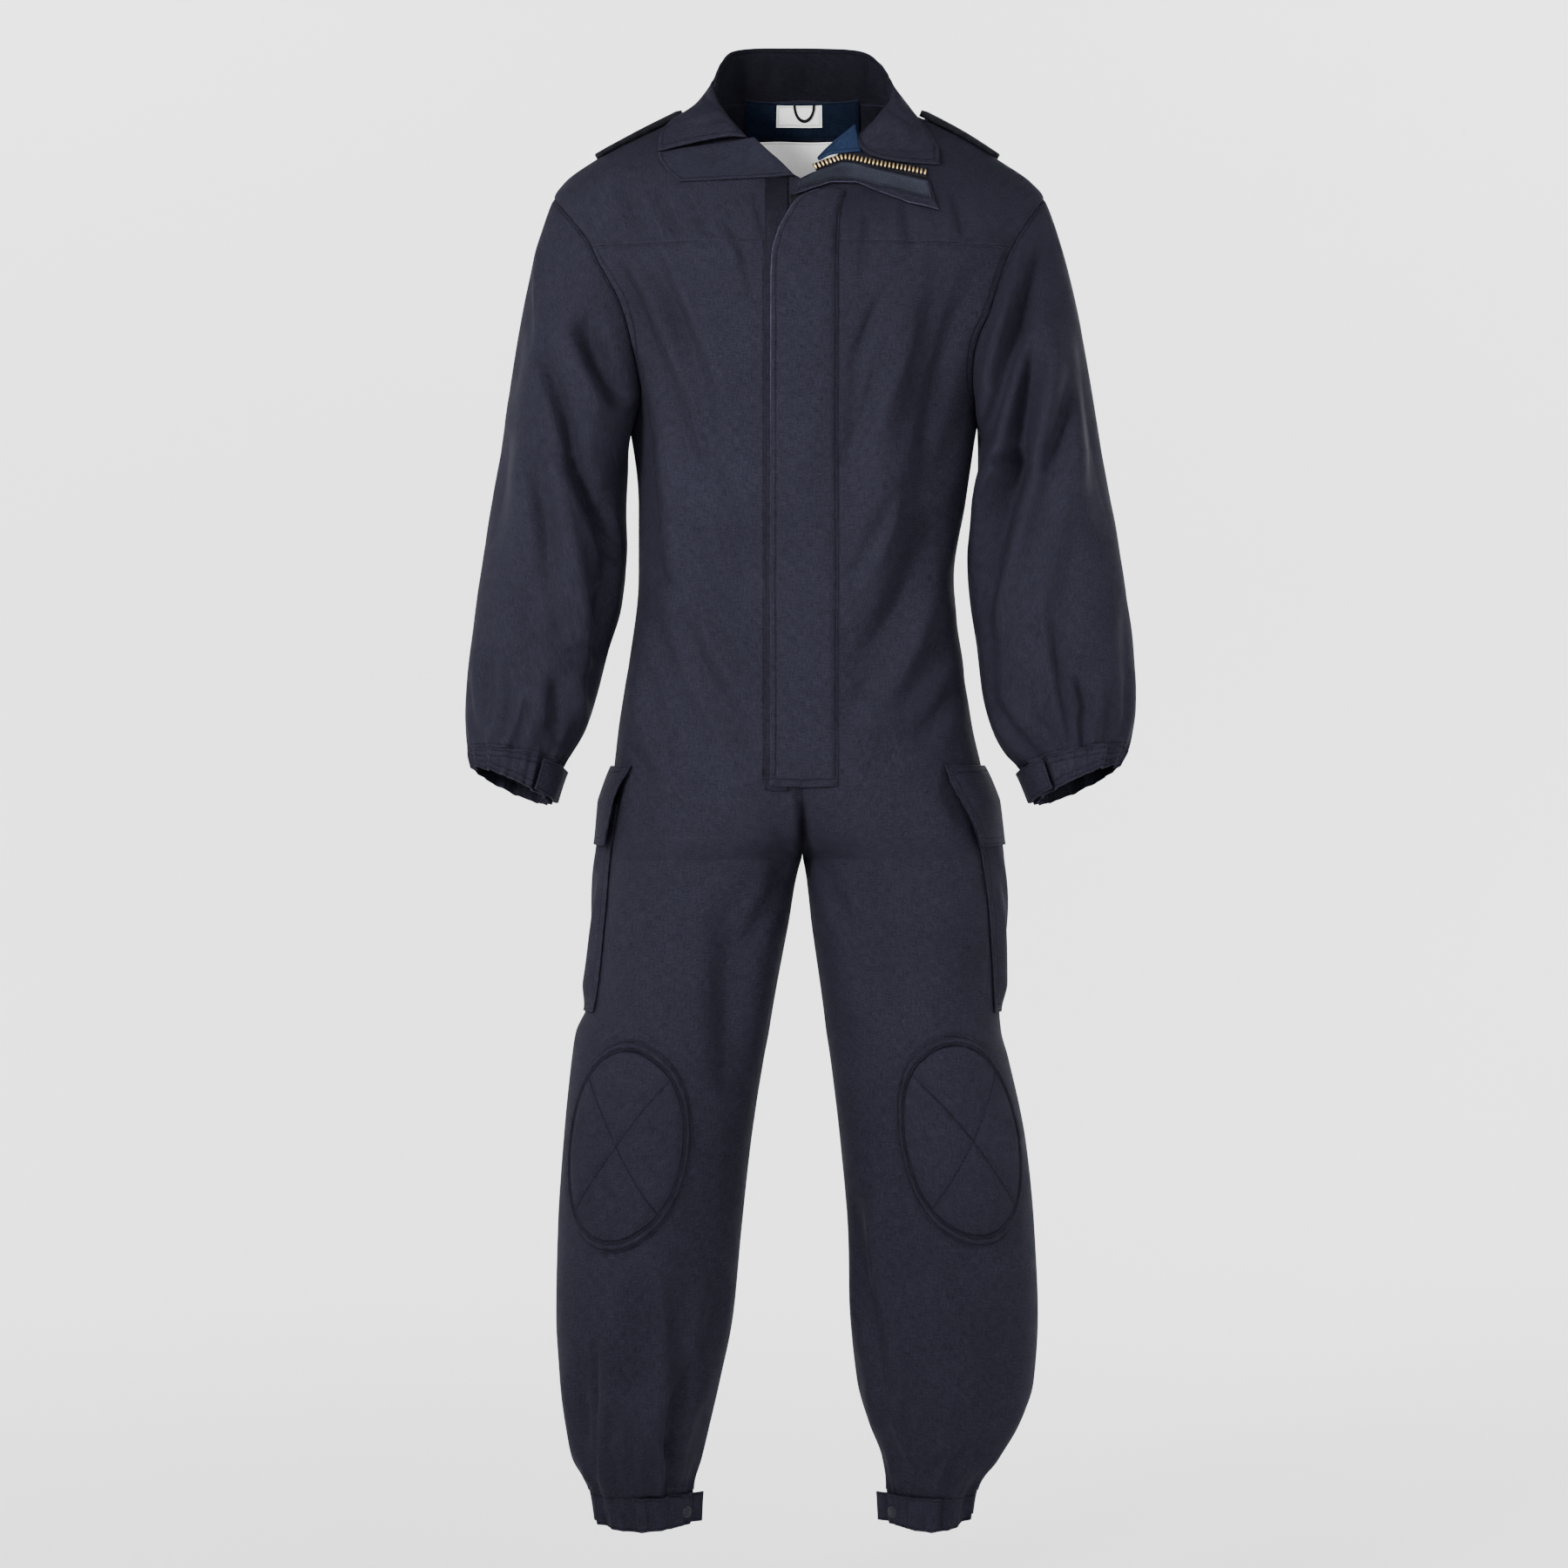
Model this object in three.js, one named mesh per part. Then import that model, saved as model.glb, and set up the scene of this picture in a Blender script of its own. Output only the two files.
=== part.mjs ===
// A boiler suit of navy ripstop cloth in its worn shape, with nobody in it.
// Millimetres. X runs to the wearer's left, Y to the back and Z up. The origin is between the
// shoulders at the foot of the neck, where the wearer carries the suit.
// Every piece of cloth is a closed wall: a grid of outer points, the same grid moved in by the
// cloth's thickness, and rims that join the two.

import * as THREE from "three";
import { mergeVertices } from "three/addons/utils/BufferGeometryUtils.js";

// Cloth and gaps
const CLOTH = 1.6; // the suit's wall: ripstop with its inner layer
const DOUBLE = 2.4; // collar, flaps and tabs, sewn from two layers
const LABEL = 1.0; // woven label
const SEAM = 0.3; // gap kept at a seam
const CLEAR = 1.1; // gap under a piece that lies on a curved panel

// Heights of the main seams and openings
const ARMHOLE_TOP = -62;
const ARMHOLE_FOOT = -294;
const ARMHOLE_POINTS = 24;
const YOKE_POINT = 4; // the armhole point where the yoke's seams meet it
const CROTCH = -757;
const FRONT_FOOT = -1426; // where the trouser legs meet their ankle bands
const BAND_FOOT = -1464;
const FLAP_FOOT = -681; // foot of the storm flap

// How far the armhole is cut into the front and the back, in degrees round the body
const ARMHOLE_FRONT = 33;
const ARMHOLE_BACK = 28;

const PANEL_COLUMNS = 8;
const deg = THREE.MathUtils.degToRad;
const clamp = THREE.MathUtils.clamp;
const lerp = THREE.MathUtils.lerp;

// Turns rows of numbers into rows of named values.
function table(names, rows) {
  const keys = names.split(" ");
  return rows.map((row) => Object.fromEntries(keys.map((key, i) => [key, row[i]])));
}

// Body sections from the neck to the ankles, for the right and the left half. "Out" is the
// outer side and "in" the inner one, measured from the centre plane. An inner side below zero
// lies past the centre plane, where the two halves run together. "Mid" is the section's middle
// in Y, with "front" and "back" the depth on either side of it.
const BODY = table("z rightOut rightIn leftOut leftIn mid front back square", [
  [58, 60, -60, 60, -60, 0, 36, 58, 2.1],
  [40, 88, -88, 86, -86, 0, 44, 66, 2.1],
  [22, 130, -130, 128, -128, 0, 55, 76, 2.2],
  [0, 178, -178, 173, -173, 0, 69, 88, 2.2],
  [-23, 221, -221, 210, -210, 0, 82, 98, 2.2],
  [-46, 252, -252, 243, -243, 0, 92, 106, 2.2],
  [-62, 262, -262, 255, -255, 0, 98, 111, 2.2],
  [-120, 248, -248, 246, -246, 0, 116, 122, 2.2],
  [-178, 229, -229, 230, -230, 0, 127, 127, 2.2],
  [-236, 204, -204, 206, -206, 0, 131, 126, 2.2],
  [-294, 184, -184, 186, -186, 0, 131, 120, 2.2],
  [-385, 173, -173, 172, -172, 0, 127, 108, 2.2],
  [-460, 173, -173, 160, -160, 0, 123, 101, 2.2],
  [-552, 183, -183, 169, -169, 0, 122, 112, 2.2],
  [-621, 194, -194, 180, -180, 0, 122, 126, 2.2],
  [-665, 199, -190, 190, -180, 0, 121, 132, 2.2],
  [-700, 203, -100, 196, -98, 1, 119, 133, 2.2],
  [-732, 206, -36, 200, -35, 3, 116, 129, 2.2],
  [-757, 209, 0.2, 203, 0.2, 4, 113, 124, 2.1],
  [-830, 216, 15, 208, 10, 3, 109, 112, 2.1],
  [-915, 228, 31, 208, 22, 0, 105, 103, 2.1],
  [-940, 239, 35, 210, 25, -2, 104, 101, 2.1],
  [-966, 243, 40, 217, 29, -4, 103, 100, 2.1],
  [-1058, 252, 54, 236, 40, -8, 102, 98, 2.1],
  [-1150, 258, 64, 245, 48, -4, 97, 100, 2.1],
  [-1242, 260, 73, 249, 51, 2, 92, 100, 2.1],
  [-1310, 256, 87, 245, 58, 8, 86, 94, 2.1],
  [-1357, 250, 98, 229, 72, 12, 77, 84, 2.1],
  [-1392, 244, 107, 208, 86, 14, 64, 70, 2.1],
  [-1426, 226, 118, 186, 92, 15, 50, 53, 2.0],
  [-1464, 220, 120, 180, 94, 15, 47, 50, 2.0],
]);

// The neck edge: its height by the angle round the body, from the centre front to the centre back.
const NECK = table("angle z", [
  [0, -54],
  [9, -24],
  [20, 2],
  [36, 21],
  [62, 33],
  [90, 38],
  [135, 48],
  [180, 54],
]);

// Heights of the panel rows below the armhole.
const ROWS = [
  ARMHOLE_FOOT, -335, -385, -440, -496, -552, -606, -660, -694, -724, -745, CROTCH, -790, -840,
  -880, -918, -960, -1020, -1080, -1140, -1200, -1252, -1296, -1334, -1366, -1392, -1410, FRONT_FOOT,
];

// The largest folds. Each runs from one end to the other as seen from the front, with X towards
// the wearer's left, and fades at both ends. "Face" is 1 on the front and -1 on the back.
const BODY_FOLDS = table("face x z toX toZ wide deep", [
  [1, -205, -140, -150, -420, 17, -7],
  [1, -175, -120, -112, -470, 20, 6],
  [1, -150, -130, -66, -520, 18, -5],
  [1, 190, -130, 120, -330, 18, -6],
  [1, 150, -150, 70, -500, 20, 5],
  [1, 80, -190, 52, -400, 14, -4],
  [1, -160, -560, -70, -690, 20, -4],
  [1, 150, -560, 60, -690, 20, -4],
  [-1, -150, -140, -110, -420, 22, -6],
  [-1, 150, -140, 110, -420, 22, -6],
  [-1, 0, -200, 0, -440, 26, -5],
  [-1, -90, -400, -120, -560, 18, -6],
  [-1, 90, -400, 120, -560, 18, -6],
  [-1, -60, -640, -110, -860, 20, -6],
  [-1, 60, -640, 110, -860, 20, -6],
  [1, -222, -1240, -226, -1400, 12, -6],
  [1, -120, -1210, -140, -1400, 12, -5],
  [1, 84, -1180, 110, -1400, 14, -6],
  [1, 205, -1290, 172, -1400, 14, -6],
]);

// Sleeve sections, from under the armhole to the cuff's free edge. X is outwards from the centre
// plane, "wide" and "deep" are the half sizes across and front to back, and "lean" tilts the
// section outwards. The last two rows are the cuff.
const SLEEVE = {
  right: table("x y z wide deep lean", [
    [251, -4, -340, 68, 88, 8],
    [256, -7, -384, 71, 87, 6],
    [259, -11, -430, 75, 84, 6],
    [265, -16, -480, 76, 80, 8],
    [275, -22, -528, 72, 76, 9],
    [283, -28, -572, 69, 71, 9],
    [290, -35, -610, 64, 65, 9],
    [296, -40, -636, 56, 57, 8],
    [300, -43, -653, 49, 49, 9],
    [304, -51, -681, 43, 43, 24],
  ]),
  left: table("x y z wide deep lean", [
    [251, -4, -340, 66, 88, 8],
    [252, -7, -384, 73, 87, 6],
    [253, -11, -430, 80, 84, 6],
    [258, -16, -480, 82, 80, 8],
    [265, -22, -528, 82, 77, 7],
    [269, -28, -572, 81, 74, 7],
    [274, -35, -610, 76, 69, 8],
    [279, -40, -638, 66, 60, 8],
    [284, -43, -653, 56, 52, 10],
    [287, -51, -680, 46, 44, 24],
  ]),
};
const CAP_RINGS = 3; // rings between the armhole and the first sleeve section
const CAP_ROUND = 8.5; // how far the sleeve's head rounds out

// The largest folds of the sleeves: angle round the sleeve (0 outside, 90 front, 180 under the
// arm), and how far down from the armhole, from 0 to 1.
const SLEEVE_FOLDS = table("angle down toAngle toDown wide deep", [
  [70, 0.1, 150, 0.52, 15, -9],
  [35, 0.12, 110, 0.62, 17, 7],
  [60, 0.3, 95, 0.75, 14, -5],
  [135, 0.3, 160, 0.8, 14, -6],
  [240, 0.1, 200, 0.5, 17, -9],
  [300, 0.2, 250, 0.7, 18, -6],
  [20, 0.72, 40, 0.97, 13, -6],
  [75, 0.7, 85, 0.98, 12, -7],
  [120, 0.74, 125, 0.98, 12, -6],
  [255, 0.7, 265, 0.98, 14, -7],
  [310, 0.72, 305, 0.98, 14, -6],
]);

const CUFF_WAVES = 12;
const CUFF_WAVE = 1.6;
const CUFF_COLUMNS = 36;
const ANKLE_WAVES = 10;
const ANKLE_WAVE = 1.8;
const ANKLE_COLUMNS = 30;

// A smooth curve through a table's rows that never overshoots them (monotone cubic).
function curve(rows, along, value) {
  const sorted = [...rows].sort((a, b) => a[along] - b[along]);
  const x = sorted.map((row) => row[along]);
  const y = sorted.map((row) => row[value]);
  const slope = x.slice(1).map((right, i) => (y[i + 1] - y[i]) / (right - x[i]));
  const tangent = x.map((_, i) => {
    const before = slope[i - 1] ?? slope[0];
    const after = slope[i] ?? slope[slope.length - 1];
    if (before * after <= 0) return 0;
    return (2 * before * after) / (before + after);
  });
  return (at) => {
    const inside = clamp(at, x[0], x[x.length - 1]);
    let i = 0;
    while (i < x.length - 2 && inside > x[i + 1]) i += 1;
    const step = x[i + 1] - x[i];
    const t = (inside - x[i]) / step;
    const rise = t * t * (3 - 2 * t);
    const leave = t * (1 - t) * (1 - t);
    const arrive = t * t * (t - 1);
    return lerp(y[i], y[i + 1], rise) + step * (leave * tangent[i] + arrive * tangent[i + 1]);
  };
}

function curves(rows, along) {
  return Object.fromEntries(Object.keys(rows[0]).map((key) => [key, curve(rows, along, key)]));
}

const body = curves(BODY, "z");
const neck = curves(NECK, "angle");

// How deep a fold is at a point of a flat map: a soft trough along the line between its ends.
function foldDepth(x, y, fromX, fromY, toX, toY, wide, deep) {
  const alongX = toX - fromX;
  const alongY = toY - fromY;
  const length = Math.hypot(alongX, alongY);
  const t = ((x - fromX) * alongX + (y - fromY) * alongY) / (length * length);
  const side = ((x - fromX) * alongY - (y - fromY) * alongX) / length;
  const fade = clamp(t, 0, 1) * (1 - clamp(t, 0, 1)) * 4;
  return deep * Math.sqrt(fade) * Math.exp(-((side / wide) ** 2));
}

const power = (value, exponent) => Math.sign(value) * Math.abs(value) ** exponent;

// The middle and half width of one half's section.
function halfSection(side, z) {
  const out = body[side + "Out"](z);
  const inner = body[side + "In"](z);
  return { middle: (out + inner) / 2, half: (out - inner) / 2 };
}

const sign = (side) => (side === "right" ? -1 : 1);

// A point of the body's surface. The angle runs from 0 at the front to 90 at the side and 180 at
// the back, and from 0 to -90 at the front's inner side.
function bodySurface(side, angle, z) {
  const { middle, half } = halfSection(side, z);
  const mid = body.mid(z);
  const round = 2 / body.square(z);
  const acrossIt = power(Math.sin(deg(angle)), round);
  const forward = power(Math.cos(deg(angle)), round);
  const depth = forward > 0 ? body.front(z) : body.back(z);
  const x = sign(side) * (middle + half * acrossIt);
  const y = mid - depth * forward;
  const out = new THREE.Vector2(sign(side) * acrossIt, -forward).normalize();
  const facing = clamp(Math.abs(forward) * 2.5, 0, 1);
  const move = BODY_FOLDS.filter((fold) => fold.face * forward > 0)
    .map((fold) => foldDepth(x, z, fold.x, fold.z, fold.toX, fold.toZ, fold.wide, fold.deep))
    .reduce((sum, part) => sum + part, 0);
  return new THREE.Vector3(x + out.x * move * facing, y + out.y * move * facing, z);
}

// The outward normal of a surface given as a function of two parameters, by small steps.
function normalOf(surface, a, b, stepA, stepB, outward) {
  const alongA = surface(a + stepA, b).sub(surface(a - stepA, b));
  const alongB = surface(a, b + stepB).sub(surface(a, b - stepB));
  const normal = alongA.cross(alongB).normalize();
  return normal.dot(outward) < 0 ? normal.negate() : normal;
}

function bodyNormal(side, angle, z) {
  const { middle } = halfSection(side, z);
  const from = new THREE.Vector3(sign(side) * Math.max(middle, 0), body.mid(z), z - 30);
  const outward = bodySurface(side, angle, z).sub(from);
  return normalOf((a, b) => bodySurface(side, a, b), angle, z, 1, 2, outward);
}

// A point lifted off the body's surface.
function onBody(side, angle, z, lift) {
  return bodySurface(side, angle, z).addScaledVector(bodyNormal(side, angle, z), lift);
}

// The angle of a point of the front by its distance from the centre plane.
function frontAngle(x, z) {
  const side = x < 0 ? "right" : "left";
  const { middle, half } = halfSection(side, z);
  const across = clamp((Math.abs(x) - middle) / half, -1, 1);
  return THREE.MathUtils.radToDeg(Math.asin(power(across, body.square(z) / 2)));
}

function onFront(x, z, lift) {
  return onBody(x < 0 ? "right" : "left", frontAngle(x, z), z, lift);
}

// Brings a point that lies below the front's surface, or too close over it, out to a given height.
function restOnFront(point, lift) {
  const { half } = halfSection(point.x < 0 ? "right" : "left", point.z);
  if (point.y > -20 || point.z > NECK[4].z || Math.abs(point.x) > 0.92 * half) return point;
  const rest = onFront(point.x, point.z, lift);
  return point.y > rest.y ? rest : point;
}

// A point inside the back's wall, for what is sewn to its inner side.
function inBack(x, z, depth) {
  return onBody(x < 0 ? "right" : "left", 180 - frontAngle(x, z), z, -CLOTH - depth);
}

// Where a half begins: at the centre plane, or at the inseam below the crotch.
function innerAngle(side, z) {
  const { middle, half } = halfSection(side, z);
  if (z <= CROTCH) return -90 + THREE.MathUtils.radToDeg(SEAM / 2 / half);
  const across = clamp((-middle + SEAM / 2) / half, -1, 1);
  return THREE.MathUtils.radToDeg(Math.asin(power(across, body.square(z) / 2)));
}

// The armhole as an angle and a height: point 0 is the shoulder, a quarter round is the front.
function armhole(index) {
  const turn = (2 * Math.PI * index) / ARMHOLE_POINTS;
  const cut = Math.sin(turn) > 0 ? ARMHOLE_FRONT : ARMHOLE_BACK;
  const middle = (ARMHOLE_TOP + ARMHOLE_FOOT) / 2;
  return {
    angle: 90 - cut * Math.sin(turn),
    z: middle + ((ARMHOLE_TOP - ARMHOLE_FOOT) / 2) * Math.cos(turn),
  };
}

// Building walls

const meshes = new THREE.Group();

function cloth(name, geometry, color, roughness = 0.9, metalness = 0) {
  const material = new THREE.MeshStandardMaterial({ color, roughness, metalness });
  const mesh = new THREE.Mesh(geometry, material);
  mesh.name = name;
  meshes.add(mesh);
}

// A closed wall from two functions of a row and a column, one for each face. A ring is closed
// along its columns, and a disc is a ring whose first row is a single point.
function wall(rows, columns, outer, inner, form = "sheet") {
  const closed = form !== "sheet";
  const disc = form === "disc";
  const across = closed ? columns : columns + 1;
  const positions = [];
  for (const face of [outer, inner])
    for (let i = 0; i <= rows; i += 1)
      for (let j = 0; j < across; j += 1) positions.push(...face(i, disc && i === 0 ? 0 : j).toArray());
  const at = (face, i, j) => (face * (rows + 1) + i) * across + (closed ? j % columns : j);
  const index = [];
  const quad = (a, b, c, d) => index.push(a, b, c, a, c, d);
  for (let i = 0; i < rows; i += 1)
    for (let j = 0; j < columns; j += 1) {
      quad(at(0, i, j), at(0, i, j + 1), at(0, i + 1, j + 1), at(0, i + 1, j));
      quad(at(1, i, j), at(1, i + 1, j), at(1, i + 1, j + 1), at(1, i, j + 1));
    }
  for (let j = 0; j < columns; j += 1) {
    if (!disc) quad(at(0, 0, j), at(1, 0, j), at(1, 0, j + 1), at(0, 0, j + 1));
    quad(at(0, rows, j), at(0, rows, j + 1), at(1, rows, j + 1), at(1, rows, j));
  }
  if (!closed)
    for (let i = 0; i < rows; i += 1) {
      quad(at(0, i, 0), at(0, i + 1, 0), at(1, i + 1, 0), at(1, i, 0));
      quad(at(0, i, columns), at(1, i, columns), at(1, i + 1, columns), at(0, i + 1, columns));
    }
  return tidy(positions, index);
}

// Merges shared points, drops faces that collapsed and turns the faces outwards.
function tidy(positions, index) {
  const raw = new THREE.BufferGeometry();
  raw.setAttribute("position", new THREE.Float32BufferAttribute(positions, 3));
  raw.setIndex(index);
  const merged = mergeVertices(raw, 1e-3);
  const corners = Array.from(merged.index.array);
  const faces = [];
  for (let i = 0; i < corners.length; i += 3) {
    const [a, b, c] = corners.slice(i, i + 3);
    if (a !== b && b !== c && a !== c) faces.push([a, b, c]);
  }
  const point = (i) => new THREE.Vector3().fromBufferAttribute(merged.attributes.position, i);
  const volume = faces.reduce((sum, [a, b, c]) => sum + point(a).dot(point(b).cross(point(c))), 0);
  merged.setIndex(faces.flatMap(([a, b, c]) => (volume < 0 ? [a, c, b] : [a, b, c])));
  merged.computeVertexNormals();
  return merged;
}

// A cloth that lies on the body: a map from row and column to an angle and a height.
function patch(side, rows, columns, place, lift, thick, form = "sheet") {
  const face = (raise) => (i, j) => {
    const { angle, z, up = 0, more = 0 } = place(i / rows, j / columns);
    return onBody(side, angle, z, lift + up + (raise ? thick + more : 0));
  };
  return wall(rows, columns, face(true), face(false), form);
}

// The four long body panels, from the yoke seams to the ankles

function panelRows() {
  const rows = [];
  for (let k = YOKE_POINT; k < ARMHOLE_POINTS / 2; k += 1) rows.push({ z: armhole(k).z, index: k });
  ROWS.forEach((z) => rows.push({ z }));
  return rows;
}

function panel(side, face) {
  const rows = panelRows();
  const last = rows.length - 1;
  const place = (i, j) => {
    let { z } = rows[i];
    const { index } = rows[i];
    const inset = THREE.MathUtils.radToDeg(SEAM / 2 / halfSection(side, z).half);
    let edge = 90;
    if (index !== undefined) edge = armhole(face === "front" ? index : ARMHOLE_POINTS - index).angle;
    let start = innerAngle(side, z);
    if (face === "back") {
      start = 180 - start;
      edge += inset;
    } else edge -= inset;
    if (i === 0) z -= SEAM / 2;
    if (i === last) z += SEAM / 2;
    return [side, lerp(start, edge, j / PANEL_COLUMNS), z];
  };
  const outer = (i, j) => bodySurface(...place(i, j));
  const inner = (i, j) => onBody(...place(i, j), -CLOTH);
  return wall(last, PANEL_COLUMNS, outer, inner);
}

// The yoke runs from one centre front over both shoulders and round the back of the neck. Each
// station joins a point of the neck edge to one of the outer edge: front seam, armhole, back seam.
const NECK_FRONT = 44; // the angles at the neck between which the yoke runs to the armhole
const NECK_BACK = 132;
const YOKE_DEPTH = 4; // rows from the neck edge to the seams

function yokeStations(side) {
  const seam = armhole(YOKE_POINT);
  const back = armhole(ARMHOLE_POINTS - YOKE_POINT);
  const inset = THREE.MathUtils.radToDeg(SEAM / 2 / halfSection(side, seam.z).half);
  const stations = [];
  for (let j = 0; j < PANEL_COLUMNS; j += 1) {
    const t = j / PANEL_COLUMNS;
    const start = j === 0 ? inset : 0;
    const angle = lerp(start, seam.angle, t);
    stations.push({ neckAngle: lerp(start, NECK_FRONT, t), angle, z: seam.z + SEAM / 2 });
  }
  const around = 2 * YOKE_POINT;
  for (let k = 0; k <= around; k += 1) {
    const at = armhole(k <= YOKE_POINT ? YOKE_POINT - k : ARMHOLE_POINTS - (k - YOKE_POINT));
    const nearSeam = k === 0 || k === around ? SEAM / 2 : 0;
    const neckAngle = lerp(NECK_FRONT, NECK_BACK, k / around);
    stations.push({ neckAngle, angle: at.angle, z: at.z + nearSeam });
  }
  for (let j = PANEL_COLUMNS - 1; j >= 0; j -= 1) {
    const t = j / PANEL_COLUMNS;
    const angle = lerp(180, back.angle, t);
    stations.push({ neckAngle: lerp(180, NECK_BACK, t), angle, z: back.z + SEAM / 2 });
  }
  return stations.map((station) => ({ ...station, side }));
}

function yoke() {
  const left = yokeStations("left").slice(0, -1);
  const stations = [...yokeStations("right"), ...left.reverse()];
  const place = (i, j) => {
    const { side, neckAngle, angle, z } = stations[j];
    const t = i / YOKE_DEPTH;
    return [side, lerp(neckAngle, angle, t), lerp(neck.z(neckAngle), z, t ** 0.9)];
  };
  const outer = (i, j) => bodySurface(...place(i, j));
  const inner = (i, j) => onBody(...place(i, j), -CLOTH);
  return wall(YOKE_DEPTH, stations.length - 1, outer, inner);
}

// Sleeves

const sleeves = Object.fromEntries(
  ["right", "left"].map((side) => {
    const rows = SLEEVE[side].map((row, i) => ({ ...row, station: i }));
    return [side, curves(rows, "station")];
  }),
);
const SLEEVE_END = SLEEVE.right.length - 2; // the station of the cuff seam

// A point of the sleeve below its head. The turn is 0 outside, 90 in front and 180 inside.
function sleeveTube(side, turn, station) {
  const at = sleeves[side];
  const lean = deg(at.lean(station));
  const outwards = Math.cos(deg(turn)) * at.wide(station);
  const forwards = Math.sin(deg(turn)) * at.deep(station);
  const pitch = deg(12) * clamp(station / SLEEVE_END, 0, 1);
  return new THREE.Vector3(
    sign(side) * (at.x(station) + outwards * Math.cos(lean)),
    at.y(station) - forwards * Math.cos(pitch),
    at.z(station) + outwards * Math.sin(lean) + forwards * Math.sin(pitch),
  );
}

// The sleeve laid flat, for its folds: its radius and its length.
const SLEEVE_FLAT = { radius: 80, long: 420 };

function sleeveFolds(turn, down) {
  const inRange = ((turn % 360) + 360) % 360;
  const { radius, long } = SLEEVE_FLAT;
  return SLEEVE_FOLDS.map((fold) => {
    const near = inRange - fold.angle > 180 ? inRange - 360 : inRange;
    return foldDepth(
      deg(near) * radius, down * long, deg(fold.angle) * radius, fold.down * long,
      deg(fold.toAngle) * radius, fold.toDown * long, fold.wide, fold.deep,
    );
  }).reduce((sum, part) => sum + part, 0);
}

// "Down" runs from 0 at the armhole to 1 at the cuff seam.
const CAP_SHARE = 0.25;

function sleeveSurface(side, turn, down) {
  const folds = sleeveFolds(turn, down);
  const radial = (point, centre) => point.clone().sub(centre).normalize();
  if (down >= CAP_SHARE) {
    const station = ((down - CAP_SHARE) / (1 - CAP_SHARE)) * SLEEVE_END;
    const point = sleeveTube(side, turn, station);
    const at = sleeves[side];
    const centre = new THREE.Vector3(sign(side) * at.x(station), at.y(station), at.z(station));
    return point.addScaledVector(radial(point, centre), folds);
  }
  const t = down / CAP_SHARE;
  const { angle, z } = armhole((((turn % 360) + 360) % 360) / (360 / ARMHOLE_POINTS));
  const start = onBody(side, angle, z, 0);
  start.x += sign(side) * SEAM;
  const end = sleeveTube(side, turn, 0);
  const point = start.lerp(end, t);
  const head = Math.max(0, Math.cos(deg(turn))) * CAP_ROUND * Math.sin(Math.PI * t ** 0.7);
  const frontBack = Math.sin(deg(turn)) * 10 * Math.sin(Math.PI * t);
  point.x += sign(side) * head;
  point.y -= frontBack;
  const centre = new THREE.Vector3(sign(side) * lerp(215, 251, t), 0, lerp(-178, -340, t));
  const out = radial(point, centre);
  return point.addScaledVector(out, folds * t);
}

function sleeveNormal(side, turn, down) {
  const at = sleeves[side];
  const t = clamp(down / CAP_SHARE, 0, 1);
  const station = clamp((down - CAP_SHARE) / (1 - CAP_SHARE), 0, 1) * SLEEVE_END;
  const centre = new THREE.Vector3(
    sign(side) * lerp(210, at.x(station), t), lerp(0, at.y(station), t), lerp(-190, at.z(station), t),
  );
  const outward = sleeveSurface(side, turn, down).sub(centre);
  const low = Math.max(down - 0.01, 0);
  const high = Math.min(down + 0.01, 1);
  const around = sleeveSurface(side, turn + 1, down).sub(sleeveSurface(side, turn - 1, down));
  const along = sleeveSurface(side, turn, high).sub(sleeveSurface(side, turn, low));
  const normal = around.cross(along).normalize();
  return normal.dot(outward) < 0 ? normal.negate() : normal;
}

const SLEEVE_RINGS = 10; // rings below the sleeve's head

function sleeve(side) {
  const rings = CAP_RINGS + SLEEVE_RINGS;
  const down = (i) =>
    i <= CAP_RINGS ? (i / CAP_RINGS) * CAP_SHARE : lerp(CAP_SHARE, 1, (i - CAP_RINGS) / SLEEVE_RINGS);
  const turn = (j) => (j * 360) / ARMHOLE_POINTS;
  const outer = (i, j) => sleeveSurface(side, turn(j), down(i));
  const inner = (i, j) => outer(i, j).addScaledVector(sleeveNormal(side, turn(j), down(i)), -CLOTH);
  return wall(rings, ARMHOLE_POINTS, outer, inner, "ring");
}

// A gathered cuff: the sleeve's last two sections, with waves that grow towards the free edge.
function cuffPoint(side, turn, t, lift) {
  const at = sleeves[side];
  const station = SLEEVE_END + 0.02 + 0.98 * t;
  const point = sleeveTube(side, turn, station);
  const centre = new THREE.Vector3(sign(side) * at.x(station), at.y(station), at.z(station));
  return point.addScaledVector(point.clone().sub(centre).normalize(), cuffWave(turn, t) + lift);
}

function cuffWave(turn, t) {
  return CUFF_WAVE * Math.cos(deg(turn * CUFF_WAVES)) * (0.5 + 0.5 * t);
}

function cuff(side) {
  const turn = (j) => (j * 360) / CUFF_COLUMNS;
  const outer = (i, j) => cuffPoint(side, turn(j), i / 2, 0);
  const inner = (i, j) => cuffPoint(side, turn(j), i / 2, -DOUBLE);
  return wall(2, CUFF_COLUMNS, outer, inner, "ring");
}

// How far a tab's free end stands off what it lies on, by the share of its length.
const TAB_STANDS_OFF = 7;
const tabRise = (t) => TAB_STANDS_OFF * clamp((t - 0.6) / 0.4, 0, 1) ** 2;

// The cuff's fastening tab, which lies round the inner front of the cuff and ends free.
const CUFF_TAB = { from: 128, to: 205, top: 0.12, foot: 0.96, columns: 8 };

function cuffTab(side) {
  const face = (lift) => (i, j) => {
    const t = j / CUFF_TAB.columns;
    const turn = lerp(CUFF_TAB.from, CUFF_TAB.to, t);
    const down = lerp(CUFF_TAB.top, CUFF_TAB.foot, i / 2);
    const off = CUFF_WAVE + CLEAR - SEAM - cuffWave(turn, down) + tabRise(t) + lift;
    return cuffPoint(side, turn, down, 0).addScaledVector(cuffOut(side, turn), off);
  };
  return wall(2, CUFF_TAB.columns, face(DOUBLE), face(0));
}

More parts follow.
